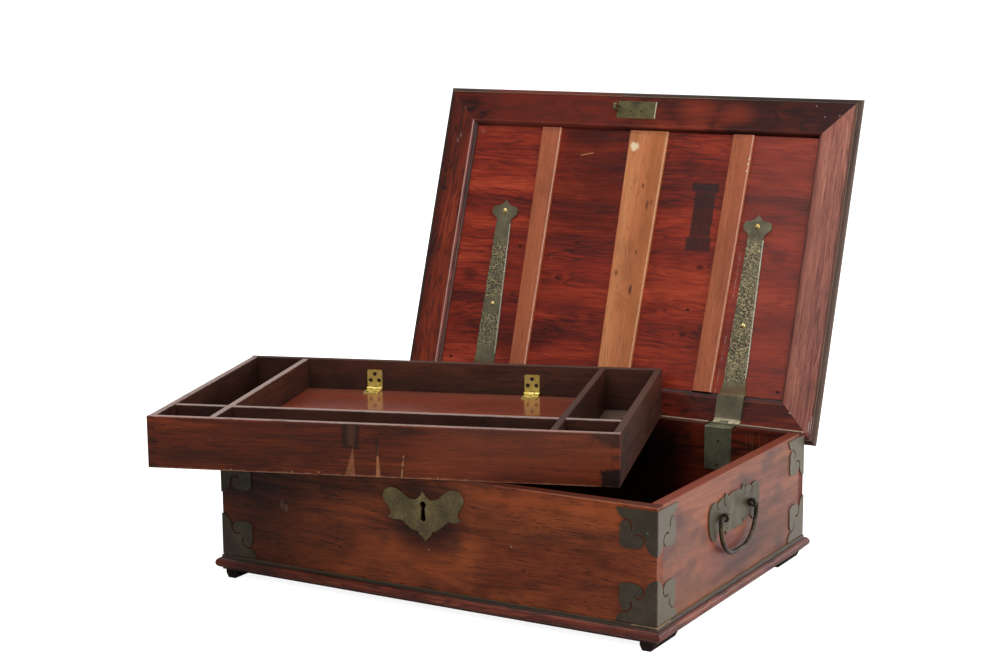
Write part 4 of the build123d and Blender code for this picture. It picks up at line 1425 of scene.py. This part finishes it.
@dataclass
class Studio:
    """Floor, sky, lamps and camera."""

    floor_size: float = 60.0
    azimuth: float = 28.495
    elevation: float = 11.040
    roll: float = 0.013
    focal_px: float = 1966.1
    axis_px: tuple[float, float] = (571.9, 366.6)
    eye: Point = (1.0086, -1.7386, 0.6076)
    image: tuple[int, int] = (1000, 666)
    sky_front: float = 0.25
    sky_back: float = 1.0
    lift: float = 0.90
    shade: float = 0.35
    pale: float = 0.8
    fade: tuple[float, float] = (-0.5, 0.3)

    def floor(self) -> None:
        """Lays the pale floor."""
        bm = bmesh.new()
        bmesh.ops.create_grid(bm, x_segments=1, y_segments=1, size=self.floor_size / 2)
        mesh = bpy.data.meshes.new("floor")
        bm.to_mesh(mesh)
        bm.free()
        g = Graph("floor_paint")
        across, ahead, _ = g.axes(g.place())
        side = g.calc("ADD", g.calc("MULTIPLY", across, 0.5), ahead)
        paint = g.ramp(g.span(side, *self.fade), (0.0, (self.shade,) * 3 + (1,)),
                       (1.0, (self.pale,) * 3 + (1,)))
        seen = g.tree.nodes.new("ShaderNodeLightPath").outputs["Is Camera Ray"]
        g.surface(Base_Color=paint, Roughness=0.9, Specular_IOR_Level=0.0,
                  Emission_Color=(1, 1, 1, 1), Emission_Strength=g.calc("MULTIPLY", seen, self.lift))
        mesh.materials.append(g.material)
        floor = bpy.data.objects.new("floor", mesh)
        bpy.context.scene.collection.objects.link(floor)

    def sky(self) -> None:
        """Surrounds the box with soft light, weaker from the front, and white to the camera."""
        world = bpy.data.worlds.new("studio")
        bpy.context.scene.world = world
        world.use_nodes = True
        tree = world.node_tree
        tree.nodes.clear()
        out = tree.nodes.new("ShaderNodeOutputWorld")
        seen = tree.nodes.new("ShaderNodeBackground")
        seen.inputs["Color"].default_value = (1, 1, 1, 1)
        lit = tree.nodes.new("ShaderNodeBackground")
        either = tree.nodes.new("ShaderNodeMixShader")
        path = tree.nodes.new("ShaderNodeLightPath")
        coords = tree.nodes.new("ShaderNodeTexCoord")
        split = tree.nodes.new("ShaderNodeSeparateXYZ")
        tree.links.new(coords.outputs["Generated"], split.inputs[0])
        facing_front = tree.nodes.new("ShaderNodeMapRange")
        facing_front.interpolation_type = "SMOOTHSTEP"
        tree.links.new(split.outputs["Y"], facing_front.inputs["Value"])
        facing_front.inputs["From Min"].default_value = -0.75
        facing_front.inputs["From Max"].default_value = 0.25
        facing_front.inputs["To Min"].default_value = self.sky_front
        facing_front.inputs["To Max"].default_value = self.sky_back
        tree.links.new(facing_front.outputs["Result"], lit.inputs["Strength"])
        tree.links.new(path.outputs["Is Camera Ray"], either.inputs[0])
        tree.links.new(lit.outputs[0], either.inputs[1])
        tree.links.new(seen.outputs[0], either.inputs[2])
        tree.links.new(either.outputs[0], out.inputs[0])

    def lamp(self, name: str, at: Point, size: tuple[float, float], power: float,
             colour: Colour = (1, 1, 1, 1), aim: Point = (0, 0, 0.12)) -> None:
        """Hangs one soft lamp.

        Args:
            name: Its name.
            at: Its place.
            size: Its width and height.
            power: Its power in watts.
            colour: Its colour.
            aim: What it points at.
        """
        light = bpy.data.lights.new(name, "AREA")
        light.shape = "RECTANGLE"
        light.size, light.size_y = size
        light.energy = power
        light.color = colour[:3]
        lamp = bpy.data.objects.new(name, light)
        lamp.location = at
        way = Vector(aim) - Vector(at)
        lamp.rotation_mode = "QUATERNION"
        lamp.rotation_quaternion = way.to_track_quat("-Z", "Y")
        bpy.context.scene.collection.objects.link(lamp)

    def camera(self) -> None:
        """Sets up the camera as the photograph was taken."""
        az, el, roll = (math.radians(a) for a in (self.azimuth, self.elevation, self.roll))
        back = Vector((math.sin(az) * math.cos(el), -math.cos(az) * math.cos(el), math.sin(el)))
        right = Vector((0, 0, 1)).cross(back).normalized()
        up = back.cross(right)
        c, s = math.cos(roll), math.sin(roll)
        right, up = c * right + s * up, c * up - s * right
        data = bpy.data.cameras.new("camera")
        data.sensor_width = 36.0
        data.lens = self.focal_px * data.sensor_width / self.image[0]
        data.shift_x = (self.image[0] / 2 - self.axis_px[0]) / self.image[0]
        data.shift_y = (self.axis_px[1] - self.image[1] / 2) / self.image[0]
        data.clip_start, data.clip_end = 0.05, 200.0
        camera = bpy.data.objects.new("camera", data)
        camera.matrix_world = Matrix.Translation(Vector(self.eye)) @ Matrix(
            (right, up, back)).transposed().to_4x4()
        bpy.context.scene.collection.objects.link(camera)
        bpy.context.scene.camera = camera

    def build(self) -> None:
        """Sets up the studio."""
        self.floor()
        self.sky()
        self.lamp("overhead", (-0.2, 0.1, 2.2), (2.4, 2.4), 27.0)
        self.lamp("key", (0.2, -1.9, 1.45), (1.3, 0.8), 15.0)
        self.lamp("side", (2.4, -0.3, 1.0), (1.6, 1.2), 24.0)
        self.lamp("far_side", (2.2, 2.6, 0.45), (2.6, 0.9), 15.0, aim=(0.25, 0.0, 0.1))
        self.camera()
        bpy.context.scene.view_settings.view_transform = "Standard"


def main() -> None:
    """Finishes each sub-assembly in order."""
    logging.basicConfig(level=logging.INFO, format="%(name)s: %(message)s")
    for part in (Case(), Lid(), Till(), Studio()):
        part.build()
        log.info("built %s", type(part).__name__)


if __name__ == "__main__":
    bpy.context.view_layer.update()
    main()
